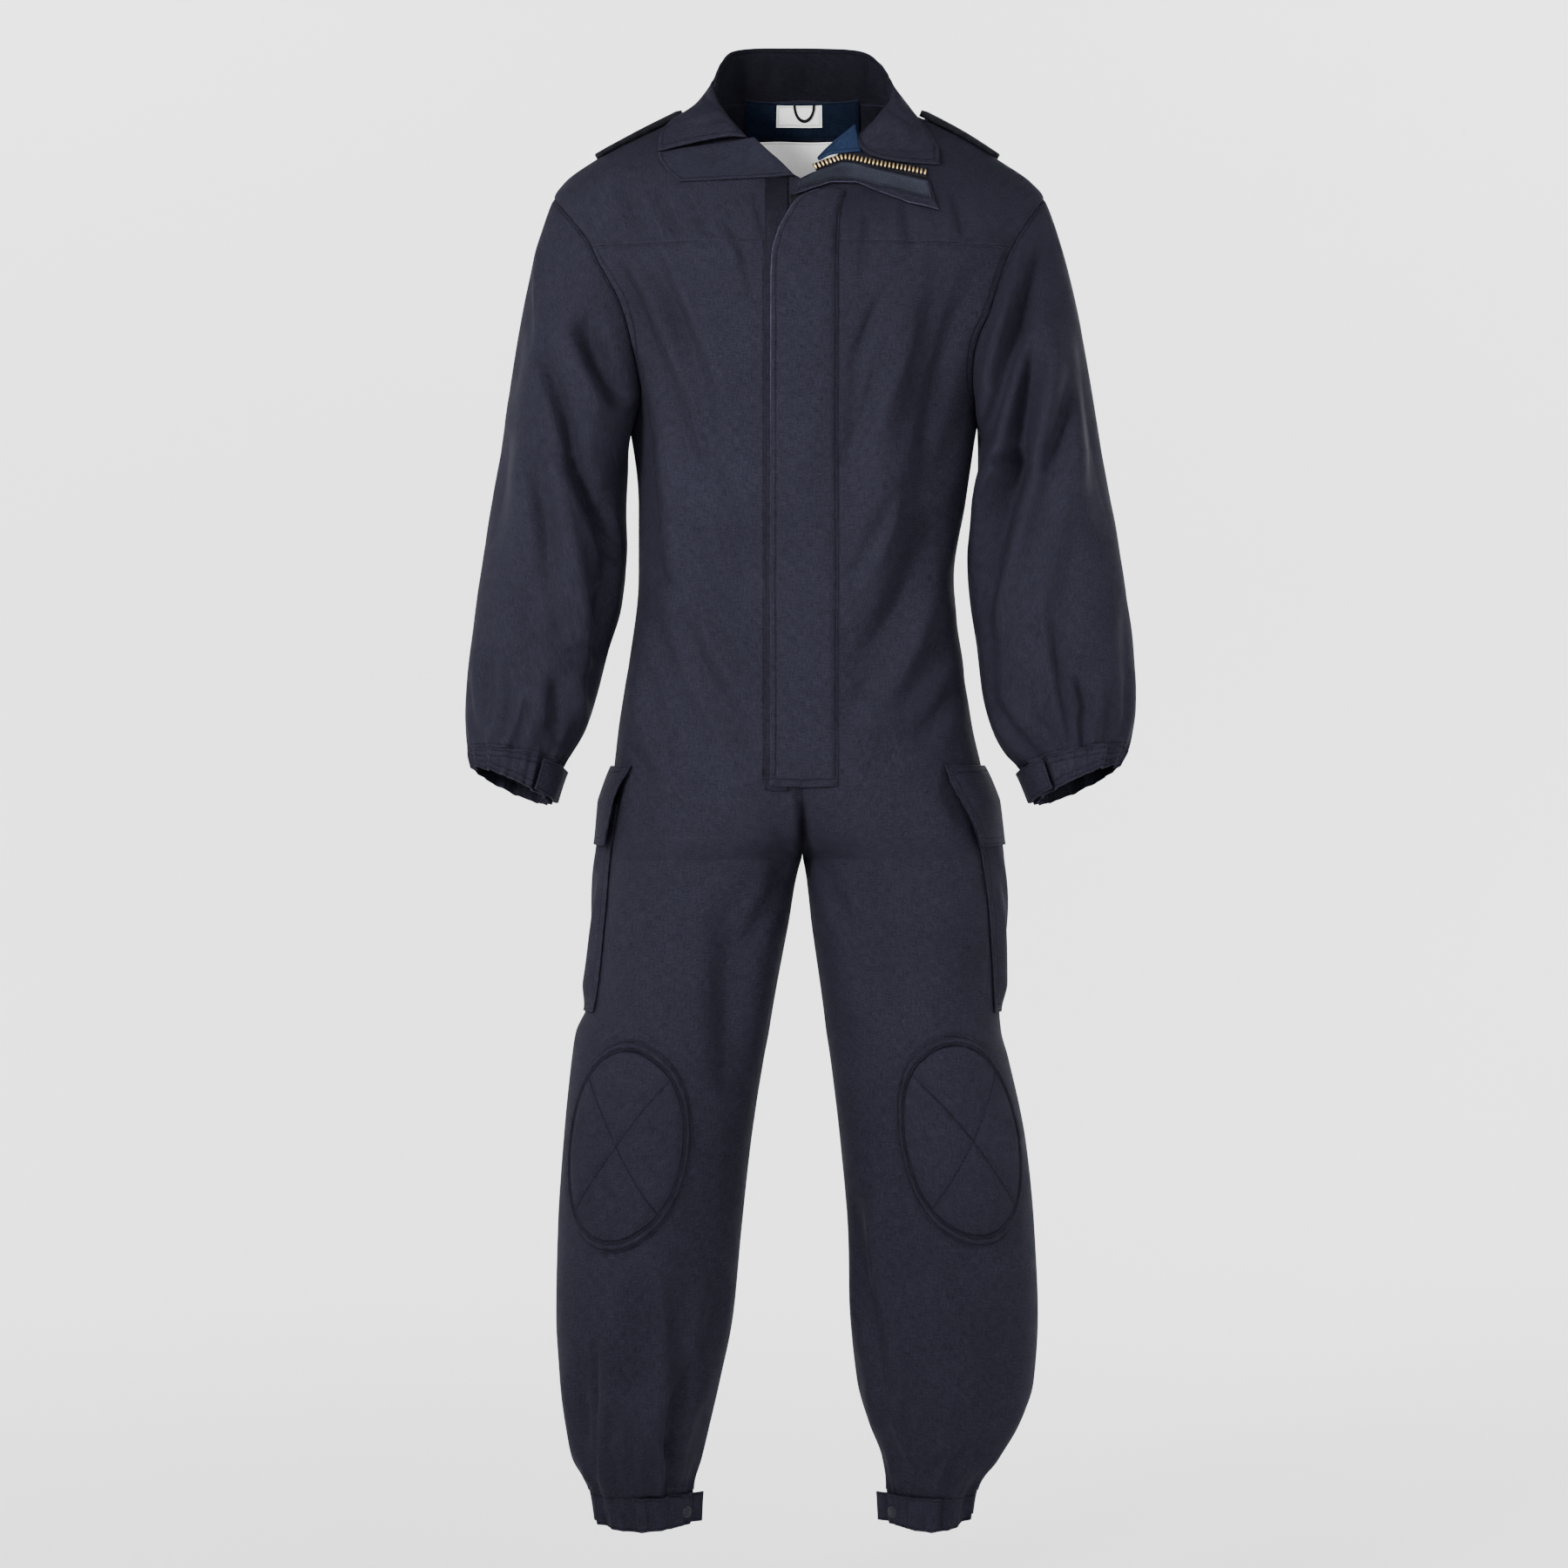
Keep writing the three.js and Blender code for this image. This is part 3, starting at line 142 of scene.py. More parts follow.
# Creases of the front as they are seen in the picture's plane: from x, z to x, z, how wide, how
# deep, and how far the line bows to its side.
FRONT_CREASES = [
    [-212, -150, -150, -480, 22, -2.6, 0],
    [-125, -140, -78, -420, 20, 1.7, 0],
    [-104, -420, -62, -640, 18, 1.6, 0],
    [168, -160, 100, -520, 22, -2.4, 0],
    [108, -150, 70, -430, 18, 1.7, 0],
    [150, -470, 90, -650, 20, 1.7, 0],
    [-170, -470, -120, -640, 20, -1.6, 0],
    [-120, -860, -150, -1120, 26, 1.2, 0],
    [130, -850, 160, -1120, 26, 1.2, 0],
    [-100, -1060, -120, -1300, 20, -1.4, 0],
    [100, -1060, 90, -1280, 20, -1.4, 0],
    [-203, -95, -166, -222, 8, -2.4, 4],
    [-192, -135, -112, -400, 11, -3.4, -10],
    [-166, -118, -86, -340, 9, -2.8, -7],
    [-150, -108, -58, -300, 7, 1.6, 0],
    [-128, -392, -52, -566, 11, -3.0, 8],
    [-102, -326, -44, -478, 10, -2.2, 6],
    [-158, -318, -120, -472, 12, 2.2, 4],
    [-168, -554, -140, -658, 6, -2.6, 4],
    [-130, -498, -47, -644, 9, -2.6, 8],
    [-152, -470, -116, -560, 10, 1.5, 0],
    [-82, -82, -51, -134, 4, -2.4, 0],
    [-66, -110, -46, -174, 3.5, -1.8, 2],
    [-49, -54, -40, -104, 3.5, -1.8, 0],
    [-192, -42, -171, -94, 6, -2.0, 0],
    [-150, -52, -127, -100, 5, -1.8, 2],
    [-116, -60, -96, -104, 5, -1.3, 0],
    [-226, -58, -190, -150, 7, 1.6, 0],
    [50, -308, 81, -163, 4, -1.9, -3],
    [48, -252, 99, -140, 4.5, -2.0, -3],
    [45, -350, 105, -203, 6, -2.2, -5],
    [88, -348, 153, -113, 12, -3.2, 8],
    [122, -352, 179, -123, 12, -3.4, 8],
    [150, -362, 193, -188, 9, -2.6, 5],
    [110, -60, 120, -112, 6, -1.4, 2],
    [160, -50, 176, -104, 7, -1.6, -2],
    [73, -72, 62, -152, 5, -1.5, 0],
    [45, -474, 93, -372, 6, -1.8, 4],
    [50, -566, 149, -388, 10, -2.8, 10],
    [44, -614, 121, -468, 9, -2.2, 8],
    [97, -604, 159, -498, 12, -2.4, 6],
    [120, -640, 168, -560, 8, -1.6, 3],
    [-76, -790, -70, -1012, 14, -2.2, 4],
    [75, -770, 83, -934, 13, -2.2, 3],
    [-30, -780, -60, -1000, 12, 1.4, 0],
    [-52, -690, -28, -670, 4, -1.2, 0],
    [40, -670, 62, -702, 4, -1.2, 0],
    [-1, -668, 3, -780, 5, -2.6, 0],
    [-14, -690, -10, -772, 5, 1.3, 0],
    [18, -756, 60, -844, 7, -1.8, 4],
    [-20, -762, -60, -850, 7, -1.8, -4],
    [150, -672, 172, -720, 6, -1.6, 2],
    [-178, -640, -160, -700, 7, -1.5, 0],
    [-219, -1262, -221, -1430, 3.4, -3.6, 0],
    [-236, -1288, -231, -1412, 7, -2.2, 0],
    [-195, -1333, -207, -1397, 6, -2.8, 4],
    [-206, -1384, -196, -1452, 5, -3.2, -4],
    [-111, -1286, -137, -1398, 9, -4.2, 5],
    [-134, -1368, -139, -1434, 6, -3.6, 0],
    [-98, -1328, -123, -1422, 6, -2.0, 0],
    [-166, -1196, -177, -1362, 13, -2.2, 4],
    [-150, -1178, -152, -1332, 9, 1.5, 0],
    [-84, -1200, -100, -1292, 7, -1.8, 0],
    [-181, -1348, -183, -1428, 4, -1.8, 0],
    [-160, -1366, -158, -1430, 4, -1.6, 0],
    [54, -1116, 80, -1292, 6, -3.6, 4],
    [78, -1268, 87, -1378, 5, -3.2, 0],
    [73, -1108, 70, -1222, 6, 1.8, 0],
    [90, -1362, 115, -1416, 5, -2.8, 3],
    [104, -1342, 121, -1408, 4, -1.8, 2],
    [135, -1414, 149, -1383, 4, -2.2, 0],
    [150, -1422, 179, -1372, 5, -2.4, -4],
    [184, -1402, 221, -1332, 6, -2.6, -5],
    [170, -1178, 160, -1332, 14, -1.8, 0],
    [120, -1180, 118, -1332, 12, -1.4, 0],
    [205, -1200, 190, -1332, 10, -1.6, 0],
]
BACK_CREASES = [
    [-180, -130, -96, -380, 10, -2.8, 6],
    [-120, -122, -60, -330, 8, -2.0, 4],
    [172, -132, 104, -372, 10, -2.8, -6],
    [118, -126, 52, -300, 8, -2.0, -3],
    [-20, -160, -36, -380, 12, 2.0, 4],
    [40, -180, 26, -420, 11, -1.8, -4],
    [-150, -430, -50, -520, 9, -2.2, 5],
    [146, -420, 56, -532, 9, -2.2, -5],
    [-128, -500, -30, -586, 8, -2.0, 4],
    [120, -506, 34, -600, 8, -2.0, -4],
    [-140, -660, -60, -740, 9, -2.4, -5],
    [136, -654, 56, -744, 9, -2.4, 5],
    [-110, -735, -40, -800, 8, -2.2, -4],
    [106, -728, 36, -806, 8, -2.2, 4],
    [-170, -960, -96, -1010, 8, -2.4, 4],
    [-176, -1010, -90, -1050, 8, -2.6, -4],
    [-168, -1060, -104, -1110, 9, -2.0, 3],
    [166, -950, 78, -1004, 8, -2.4, -4],
    [170, -1006, 84, -1046, 8, -2.6, 4],
    [164, -1064, 96, -1104, 9, -2.0, -3],
    [-190, -1180, -186, -1410, 8, -2.6, 5],
    [-150, -1240, -160, -1424, 6, -2.8, 0],
    [-112, -1220, -132, -1416, 8, -2.4, -4],
    [-214, -1300, -206, -1428, 5, -2.4, 0],
    [186, -1190, 168, -1412, 8, -2.6, -5],
    [138, -1250, 142, -1424, 6, -2.8, 0],
    [96, -1230, 112, -1414, 8, -2.4, 4],
    [206, -1310, 184, -1424, 5, -2.4, 0],
    [-200, -60, -160, -112, 6, -1.8, 0],
    [196, -62, 158, -114, 6, -1.8, 0],
    [-70, -10, -96, -108, 6, -1.5, 3],
    [76, -8, 100, -106, 6, -1.5, -3],
]

SLEEVE = {
    "right": table("x y z wide deep lean", [
        [251, -4, -340, 68, 88, 8],
        [256, -7, -384, 71, 87, 6],
        [259, -11, -430, 75, 84, 6],
        [265, -16, -480, 76, 80, 8],
        [275, -22, -528, 72, 76, 9],
        [283, -28, -572, 69, 71, 9],
        [290, -35, -610, 64, 65, 9],
        [296, -40, -636, 56, 57, 8],
        [300, -43, -653, 49, 49, 9],
        [304, -51, -681, 43, 43, 24],
    ]),
    "left": table("x y z wide deep lean", [
        [251, -4, -340, 66, 88, 8],
        [252, -7, -384, 73, 87, 6],
        [253, -11, -430, 80, 84, 6],
        [258, -16, -480, 82, 80, 8],
        [265, -22, -528, 82, 77, 7],
        [269, -28, -572, 81, 74, 7],
        [274, -35, -610, 76, 69, 8],
        [279, -40, -638, 66, 60, 8],
        [284, -43, -653, 56, 52, 10],
        [287, -51, -680, 46, 44, 24],
    ]),
}
SLEEVE_END = 8
CAP_SHARE = 0.25
CAP_ROUND = 8.5
SLEEVE_RADIUS = 80
SLEEVE_LONG = 420

# The largest folds of a sleeve by its turn and by how far down it is
SLEEVE_FOLDS = [
    [70, 0.1, 150, 0.52, 15, -9],
    [35, 0.12, 110, 0.62, 17, 7],
    [60, 0.3, 95, 0.75, 14, -5],
    [135, 0.3, 160, 0.8, 14, -6],
    [240, 0.1, 200, 0.5, 17, -9],
    [300, 0.2, 250, 0.7, 18, -6],
    [20, 0.72, 40, 0.97, 13, -6],
    [75, 0.7, 85, 0.98, 12, -7],
    [120, 0.74, 125, 0.98, 12, -6],
    [255, 0.7, 265, 0.98, 14, -7],
    [310, 0.72, 305, 0.98, 14, -6],
]
SLEEVE_CREASES = {
    "right": [
        [-281, -92, -278, -228, 4, 2.4, 0],
        [-277, -216, -237, -348, 5, -4.6, -3],
        [-241, -336, -193, -448, 6, -5.0, 0],
        [-233, -183, -187, -280, 9, -4.2, 4],
        [-268, -328, -235, -534, 10, 2.6, -8],
        [-284, -328, -268, -474, 9, -2.2, -4],
        [-333, -533, -336, -618, 5, -2.6, 0],
        [-290, -588, -301, -648, 3.5, -2.8, 0],
        [-300, -608, -312, -668, 3, -2.4, 0],
        [-262, -560, -254, -644, 6, -1.8, 0],
        [-240, -560, -221, -642, 6, 1.6, 0],
        [-216, -468, -204, -562, 8, -2.6, 0],
        [-318, -300, -330, -432, 10, -1.8, 0],
        [-300, -150, -312, -270, 9, -1.6, 2],
    ],
    "left": [
        [259, -92, 201, -266, 6, -5.2, 3],
        [247, -146, 191, -324, 6, -4.6, 0],
        [253, -213, 221, -376, 9, -3.4, 4],
        [229, -328, 179, -454, 8, -4.6, 4],
        [265, -188, 204, -524, 9, 3.2, -8],
        [287, -238, 261, -354, 7, -2.8, 0],
        [300, -200, 323, -424, 12, -1.8, 0],
        [262, -486, 286, -644, 3.5, -3.4, 2],
        [291, -566, 311, -611, 4, -2.2, 0],
        [300, -594, 298, -648, 4, -2.8, 0],
        [242, -608, 277, -648, 3.5, -2.4, -3],
        [199, -594, 248, -654, 5, -3.2, 3],
        [331, -558, 318, -642, 5, -1.6, 0],
        [345, -478, 347, -602, 8, -1.2, 0],
    ],
}
SLEEVE_BACK = {
    "right": [
        [-286, -110, -214, -300, 8, -3.6, 5],
        [-262, -240, -204, -420, 8, -3.0, -4],
        [-310, -330, -250, -520, 9, -2.6, 6],
        [-300, -560, -306, -640, 4, -2.4, 0],
        [-270, -540, -284, -642, 5, -2.4, 3],
        [-330, -520, -322, -634, 5, -2.0, 0],
    ],
    "left": [
        [280, -112, 212, -310, 8, -3.6, -5],
        [256, -250, 200, -410, 8, -3.0, 4],
        [306, -340, 244, -530, 9, -2.6, -6],
        [286, -556, 292, -640, 4, -2.4, 0],
        [250, -540, 268, -644, 5, -2.4, -3],
        [320, -526, 310, -636, 5, -2.0, 0],
    ],
}

CUFF_WAVE = 1.6
ANKLE_WAVE = 1.8
ANKLE_IN = 1
HEM_RISE = {"right": (6, 4), "left": (13, 5)}

# Gathers above a drawn-in edge: how many go round, where they begin, how high they stand at the
# edge and how fast they fade above it.
CREASE_DEEP = 3.6
CREASE_STEEP = 0.44
CREASE_WIDE = 1.4
GATHERS = [
    [12, 0, 1.5, 26],
    [17, 40, 1.3, 34],
    [9, 110, 1.4, 60],
    [29, 75, 0.7, 14],
]


def curve(along, value):
    """A monotone cubic y(x) through points. Between two of them y = y0 (1 - r) + y1 r + h (t (1 -
    t)^2 d0 + t^2 (t - 1) d1), with t the share of the step h, r = t^2 (3 - 2 t) and d the
    harmonic mean of the slopes on both sides of a point, or 0 where they differ in sign."""
    order = np.argsort(along)
    x, y = np.asarray(along, float)[order], np.asarray(value, float)[order]
    step = np.diff(x)
    slope = np.diff(y) / step
    before = np.concatenate([slope[:1], slope])
    after = np.concatenate([slope, slope[-1:]])
    same = before * after > 0
    tangent = np.where(same, 2 * before * after / np.where(same, before + after, 1), 0)

    def at(v):
        v = np.clip(v, x[0], x[-1])
        i = np.clip(np.searchsorted(x, v, side="right") - 1, 0, len(step) - 1)
        t = (v - x[i]) / step[i]
        rise = t * t * (3 - 2 * t)
        leave = t * (1 - t) ** 2 * tangent[i]
        arrive = t * t * (t - 1) * tangent[i + 1]
        return y[i] * (1 - rise) + y[i + 1] * rise + step[i] * (leave + arrive)

    return at


def curves(columns, along):
    """A curve of every column of a table along one of them."""
    return {name: curve(columns[along], column) for name, column in columns.items()}


body = curves(BODY, "z")
neck = curves(NECK, "angle")
sleeves = {side: curves({**rows, "station": np.arange(10.0)}, "station") for side, rows in SLEEVE.items()}


def lerp(a, b, t):
    return a + (b - a) * t


def power(value, exponent):
    """sign(v) |v|^e"""
    return np.sign(value) * np.abs(value) ** exponent


def unit(vectors):
    return vectors / np.maximum(np.linalg.norm(vectors, axis=-1, keepdims=True), 1e-9)


def stack(*parts):
    """One array of points from its coordinates, spread to a common shape."""
    return np.stack(np.broadcast_arrays(*[np.asarray(part, float) for part in parts]), -1)


def folds(x, y, rows):
    """Sum of deep sqrt(4 t (1 - t)) exp(-(q / wide)^2), with t the share along a fold's line and q
    the distance from it."""
    total = np.zeros(np.broadcast(x, y).shape)
    for from_x, from_y, to_x, to_y, wide, deep in rows:
        along_x, along_y = to_x - from_x, to_y - from_y
        length = np.hypot(along_x, along_y)
        t = np.clip(((x - from_x) * along_x + (y - from_y) * along_y) / length**2, 0, 1)
        q = ((x - from_x) * along_y - (y - from_y) * along_x) / length
        total += deep * np.sqrt(4 * t * (1 - t)) * np.exp(-((q / wide) ** 2))
    return total


def creases(x, y, rows):
    """Sum of deep (4 t (1 - t))^0.6 (e^(-p^2) - 0.45 e^(-(p - 1.6)^2)), with p the distance over the
    width from a line that bows by bow 4 t (1 - t): a trough with a soft ridge beside it."""
    total = np.zeros(np.broadcast(x, y).shape)
    for from_x, from_y, to_x, to_y, wide, deep, bow in rows:
        along_x, along_y = to_x - from_x, to_y - from_y
        length = np.hypot(along_x, along_y)
        t = np.clip(((x - from_x) * along_x + (y - from_y) * along_y) / length**2, 0, 1)
        fade = 4 * t * (1 - t)
        q = ((x - from_x) * along_y - (y - from_y) * along_x) / length - bow * fade
        p = q / (wide * CREASE_WIDE)
        high = min(CREASE_DEEP, CREASE_STEEP * wide) * deep * fade**0.6
        total += high * (np.exp(-(p**2)) - 0.45 * np.exp(-((p - 1.6) ** 2)))
    return total


def seen(x, y, z):
    """Where a point is seen in the picture's plane: x and z scaled by D / (D + y) about its middle."""
    scale = VIEW_BACK / (VIEW_BACK + y)
    return (x - VIEW_X) * scale + VIEW_X, (z - VIEW_Z) * scale + VIEW_Z


def gathers(turn, above):
    """Sum of high cos(n turn + start) exp(-above / fade) over the gathers' rows."""
    total = 0
    for count, start, high, fade in GATHERS:
        total = total + high * np.cos(np.radians(count * turn + start)) * np.exp(-above / fade)
    return total


def half_section(side, z):
    out, inner = body[side + "_out"](z), body[side + "_in"](z)
    return (out + inner) / 2, (out - inner) / 2


def body_surface(side, angle, z):
    """x = s (m + h sin^(2/n) a), y = y0 - d cos^(2/n) a: a superellipse round each half, 0 in front,
    90 at the side and 180 at the back, moved along its own radius by folds, creases and gathers."""
    angle, z = np.broadcast_arrays(np.asarray(angle, float), np.asarray(z, float))
    s = SIDES[side]
    middle, half = half_section(side, z)
    mid = body["mid"](z)
    rounding = 2 / body["square"](z)
    across = power(np.sin(np.radians(angle)), rounding)
    forward = power(np.cos(np.radians(angle)), rounding)
    depth = np.where(forward > 0, body["front"](z), body["back"](z))
    x = s * (middle + half * across)
    y = mid - depth * forward
    out = unit(stack(s * across, -forward))
    facing = np.clip(np.abs(forward) * 2.5, 0, 1)
    seen_x, seen_z = seen(x, y, z)
    front = folds(x, z, FRONT_FOLDS) + creases(seen_x, seen_z, FRONT_CREASES)
    back = folds(x, z, BACK_FOLDS) + creases(x, z, BACK_CREASES)
    move = np.where(forward > 0, front, back) * facing
    above = np.maximum(z - FRONT_FOOT, 0)
    drawn = np.clip((-1200 - z) / 120, 0, 1)
    move = move + 0.9 * drawn * gathers(angle, above)
    return stack(x + out[..., 0] * move, y + out[..., 1] * move, z)


def body_normal(side, angle, z):
    """The cross product of the surface's small steps, turned away from the section's middle."""
    z = np.asarray(z, float)
    around = body_surface(side, angle + 1, z) - body_surface(side, angle - 1, z)
    up = body_surface(side, angle, z + 2) - body_surface(side, angle, z - 2)
    normal = unit(np.cross(around, up))
    middle, _ = half_section(side, z)
    start = stack(SIDES[side] * np.maximum(middle, 0), body["mid"](z), z - 30)
    outward = body_surface(side, angle, z) - start
    return normal * np.where((normal * outward).sum(-1, keepdims=True) < 0, -1, 1)


def on_body(side, angle, z, lift):
    """The body's surface moved out along its normal."""
    angle, z = np.broadcast_arrays(np.asarray(angle, float), np.asarray(z, float))
    lift = np.broadcast_to(lift, angle.shape)[..., None]
    return body_surface(side, angle, z) + body_normal(side, angle, z) * lift


def front_angle(side, x, z):
    """The angle a at which sin^(2/n) a = (|x| - m) / h."""
    middle, half = half_section(side, z)
    across = np.clip((np.abs(x) - middle) / half, -1, 1)
    return np.degrees(np.arcsin(np.clip(power(across, body["square"](z) / 2), -1, 1)))


def on_front(x, z, lift):
    """A point over the front by its x and z."""
    x, z, lift = np.broadcast_arrays(*[np.asarray(v, float) for v in (x, z, lift)])
    right = on_body("right", front_angle("right", x, z), z, lift)
    left = on_body("left", front_angle("left", x, z), z, lift)
    return np.where((x < 0)[..., None], right, left)


def in_back(x, z, depth):
    """A point inside the back's wall by its x and z."""
    x, z, depth = np.broadcast_arrays(*[np.asarray(v, float) for v in (x, z, depth)])
    right = on_body("right", 180 - front_angle("right", x, z), z, -CLOTH - depth)
    left = on_body("left", 180 - front_angle("left", x, z), z, -CLOTH - depth)
    return np.where((x < 0)[..., None], right, left)


def rest_on_front(points, lift):
    """Brings points that lie too low over the front out to a given height."""
    x, y, z = points[..., 0], points[..., 1], points[..., 2]
    half = np.where(x < 0, half_section("right", z)[1], half_section("left", z)[1])
    rest = on_front(np.clip(x, -0.92 * half, 0.92 * half), z, lift)
    low = (y <= -20) & (z <= 33) & (np.abs(x) <= 0.92 * half) & (y > rest[..., 1])
    return np.where(low[..., None], rest, points)


def inner_angle(side, z):
    """Where a half begins: at the centre plane, or at the inseam below the crotch."""
    middle, half = half_section(side, z)
    across = np.clip((-middle - 0.08) / half, -1, 1)
    centre = np.degrees(np.arcsin(np.clip(power(across, body["square"](z) / 2), -1, 1)))
    return np.where(z <= CROTCH, -90 + np.degrees(SEAM / 2 / half), centre)


def armhole(turn):
    """The armhole's ellipse: z = m + h cos t and the angle 90 - cut sin t."""
    across = np.sin(np.radians(turn))
    cut = np.where(across > 0, ARMHOLE_FRONT, ARMHOLE_BACK)
    return 90 - cut * across, ARMHOLE_MIDDLE + ARMHOLE_HALF * np.cos(np.radians(turn))


def spread(start, end, count, near=(0.0012, 0.004)):
    """Even steps with a few close ones at both ends, for the edges to turn crisply."""
    even = np.linspace(0, 1, count + 1)
    share = np.unique(np.concatenate([even, near, 1 - np.array(near)]))
    return lerp(start, end, share)


def lengths(points, axis):
    """Distances run along a grid's lines from their first point."""
    steps = np.linalg.norm(np.diff(points, axis=axis), axis=-1)
    pad = [(0, 0), (0, 0)]
    pad[axis] = (1, 0)
    return np.pad(np.cumsum(steps, axis=axis), pad)


def grid_normals(points, ring=False):
    """Unit cross products of a grid's central differences."""
    down = np.gradient(points, axis=0)
    along = np.gradient(points, axis=1)
    if ring:
        along = np.roll(points, -1, 1) - np.roll(points, 1, 1)
    return unit(np.cross(down, along))


# Meshes


def add_mesh(name, points, faces, uv=None, marks=None, painted_shades=None):
    """A mesh object from points in millimetres and faces as arrays of three or four corners. They
    are turned outwards by the sign of the enclosed volume, the sum of a . (b x c) / 6."""
    points = np.asarray(points, float)
    volume = 0
    for corners in faces:
        a = points[corners[:, 0]]
        for k in range(1, corners.shape[1] - 1):
            volume += (a * np.cross(points[corners[:, k]], points[corners[:, k + 1]])).sum()
    if volume < 0:
        faces = [corners[:, ::-1] for corners in faces]
        uv = None if uv is None else [corners[:, ::-1] for corners in uv]
    mesh = bpy.data.meshes.new(name)
    sizes = np.concatenate([np.full(len(corners), corners.shape[1]) for corners in faces])
    loops = np.concatenate([corners.ravel() for corners in faces]).astype(np.int32)
    starts = (np.cumsum(sizes) - sizes).astype(np.int32)
    mesh.vertices.add(len(points))
    mesh.vertices.foreach_set("co", (points * MM).astype(np.float32).ravel())
    mesh.loops.add(len(loops))
    mesh.loops.foreach_set("vertex_index", loops)
    mesh.polygons.add(len(sizes))
    mesh.polygons.foreach_set("loop_start", starts)
    mesh.polygons.foreach_set("use_smooth", np.ones(len(sizes), bool))
    mesh.update(calc_edges=True)
    layer = mesh.uv_layers.new(name="cloth")
    if uv is not None:
        flat = np.concatenate([corners.reshape(-1, 2) for corners in uv])
        layer.uv.foreach_set("vector", (flat * MM).astype(np.float32).ravel())
    if marks is not None:
        made = mesh.attributes.new("marks", "FLOAT_VECTOR", "POINT")
        made.data.foreach_set("vector", np.asarray(marks, np.float32).ravel())
    # The tone attribute holds painted shade: a factor on the cloth's colour, 1 where nothing is darkened.
    painted_shades = np.ones(len(points)) if painted_shades is None else np.asarray(painted_shades)
    shade = mesh.attributes.new("tone", "FLOAT", "POINT")
    shade.data.foreach_set("value", painted_shades.astype(np.float32).ravel())
    obj = bpy.data.objects.new(name, mesh)
    bpy.context.scene.collection.objects.link(obj)
    return obj


def wall(name, outer, inner, ring=False, marks=None, painted_shades=None):
    """A closed wall: the outer grid's quads, the inner grid's turned over, and the rims between
    their borders. A ring is closed along its columns. The UV is the distance run on the cloth."""
    rows, columns = outer.shape[:2]
    count = rows * columns
    index = np.arange(count).reshape(rows, columns)
    shown = outer
    if ring:
        index = np.concatenate([index, index[:, :1]], axis=1)
        shown = np.concatenate([outer, outer[:, :1]], axis=1)
    uv = np.stack([lengths(shown, 1), lengths(shown, 0)], -1)

    def quads(values, other):
        a, b, c, d = values[:-1, :-1], values[:-1, 1:], values[1:, 1:], values[1:, :-1]
        e, f, g, h = other[:-1, :-1], other[:-1, 1:], other[1:, 1:], other[1:, :-1]
        parts = [
            (a, b, c, d),
            (h, g, f, e),
            (b[0], a[0], e[0], f[0]),
            (d[-1], c[-1], g[-1], h[-1]),
        ]
        if not ring:
            parts.append((a[:, 0], d[:, 0], h[:, 0], e[:, 0]))
            parts.append((c[:, -1], b[:, -1], f[:, -1], g[:, -1]))
        axis = 2 if values.ndim == 2 else 2
        made = []
        for part in parts:
            corner = np.stack(part, -2 if values.ndim == 3 else -1)
            made.append(corner.reshape((-1, 4) + values.shape[2:]))
        return np.concatenate(made)

    faces = quads(index, index + count)
    corners = quads(uv, uv)
    points = np.concatenate([outer.reshape(-1, 3), inner.reshape(-1, 3)])
    full = np.full((2 * count, 3), 99.0)
    if marks is not None:
        full[:count] = marks.reshape(-1, 3)
    return add_mesh(name, points, [faces], [corners], full, painted_shades)


def shell(name, grid, thick, ring=False, marks=None, painted_shades=None):
    """A wall with half its thickness on either side of a grid of points."""
    normal = grid_normals(grid, ring) * (thick / 2)
    return wall(name, grid + normal, grid - normal, ring, marks, painted_shades)


def patch(name, side, angle, z, lift, thick, marks=None, ring=False):
    """A wall that lies on the body: its underside at a height over it, its face above that."""
    outer = on_body(side, angle, z, lift + thick)
    inner = on_body(side, angle, z, lift)
    return wall(name, outer, inner, ring, marks)


def edge_marks(outer, stitch=(99, 99), ring=False, worn=True, sides="udlr"):
    """Distances in millimetres: from a first and a second stitch line and from the nearest edge."""
    down = lengths(outer, 0)
    along = lengths(outer, 1)
    away = np.full(outer.shape[:2], 99.0)
    for key, distance in (
        ("u", down), ("d", down[-1:] - down), ("l", along), ("r", along[:, -1:] - along),
    ):
        if key in sides and not (ring and key in "lr"):
            away = np.minimum(away, distance)
    first = away - stitch[0] if stitch[0] < 99 else away + 99
    second = away - stitch[1] if stitch[1] < 99 else away + 99
    return stack(first, second, away if worn else away + 99)


def finish_piece(obj, nodes, material):
    obj.data.materials.append(material)
    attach(obj, "root")
    if nodes:
        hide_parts(*nodes)
    return obj


def follow(points, normals, pitch, first=0.0):
    """Places at even distances along a line of points, with their tangents and normals."""
    run = np.concatenate([[0], np.cumsum(np.linalg.norm(np.diff(points, axis=0), axis=1))])
    at = np.arange(first, run[-1], pitch)
    centre = np.stack([np.interp(at, run, points[:, k]) for k in range(3)], -1)
    ahead = np.stack([np.interp(at + 0.4, run, points[:, k]) for k in range(3)], -1)
    behind = np.stack([np.interp(at - 0.4, run, points[:, k]) for k in range(3)], -1)
    normal = np.stack([np.interp(at, run, normals[:, k]) for k in range(3)], -1)
    tangent = unit(ahead - behind)
    normal = unit(normal - tangent * (normal * tangent).sum(-1, keepdims=True))
    return centre, tangent, normal


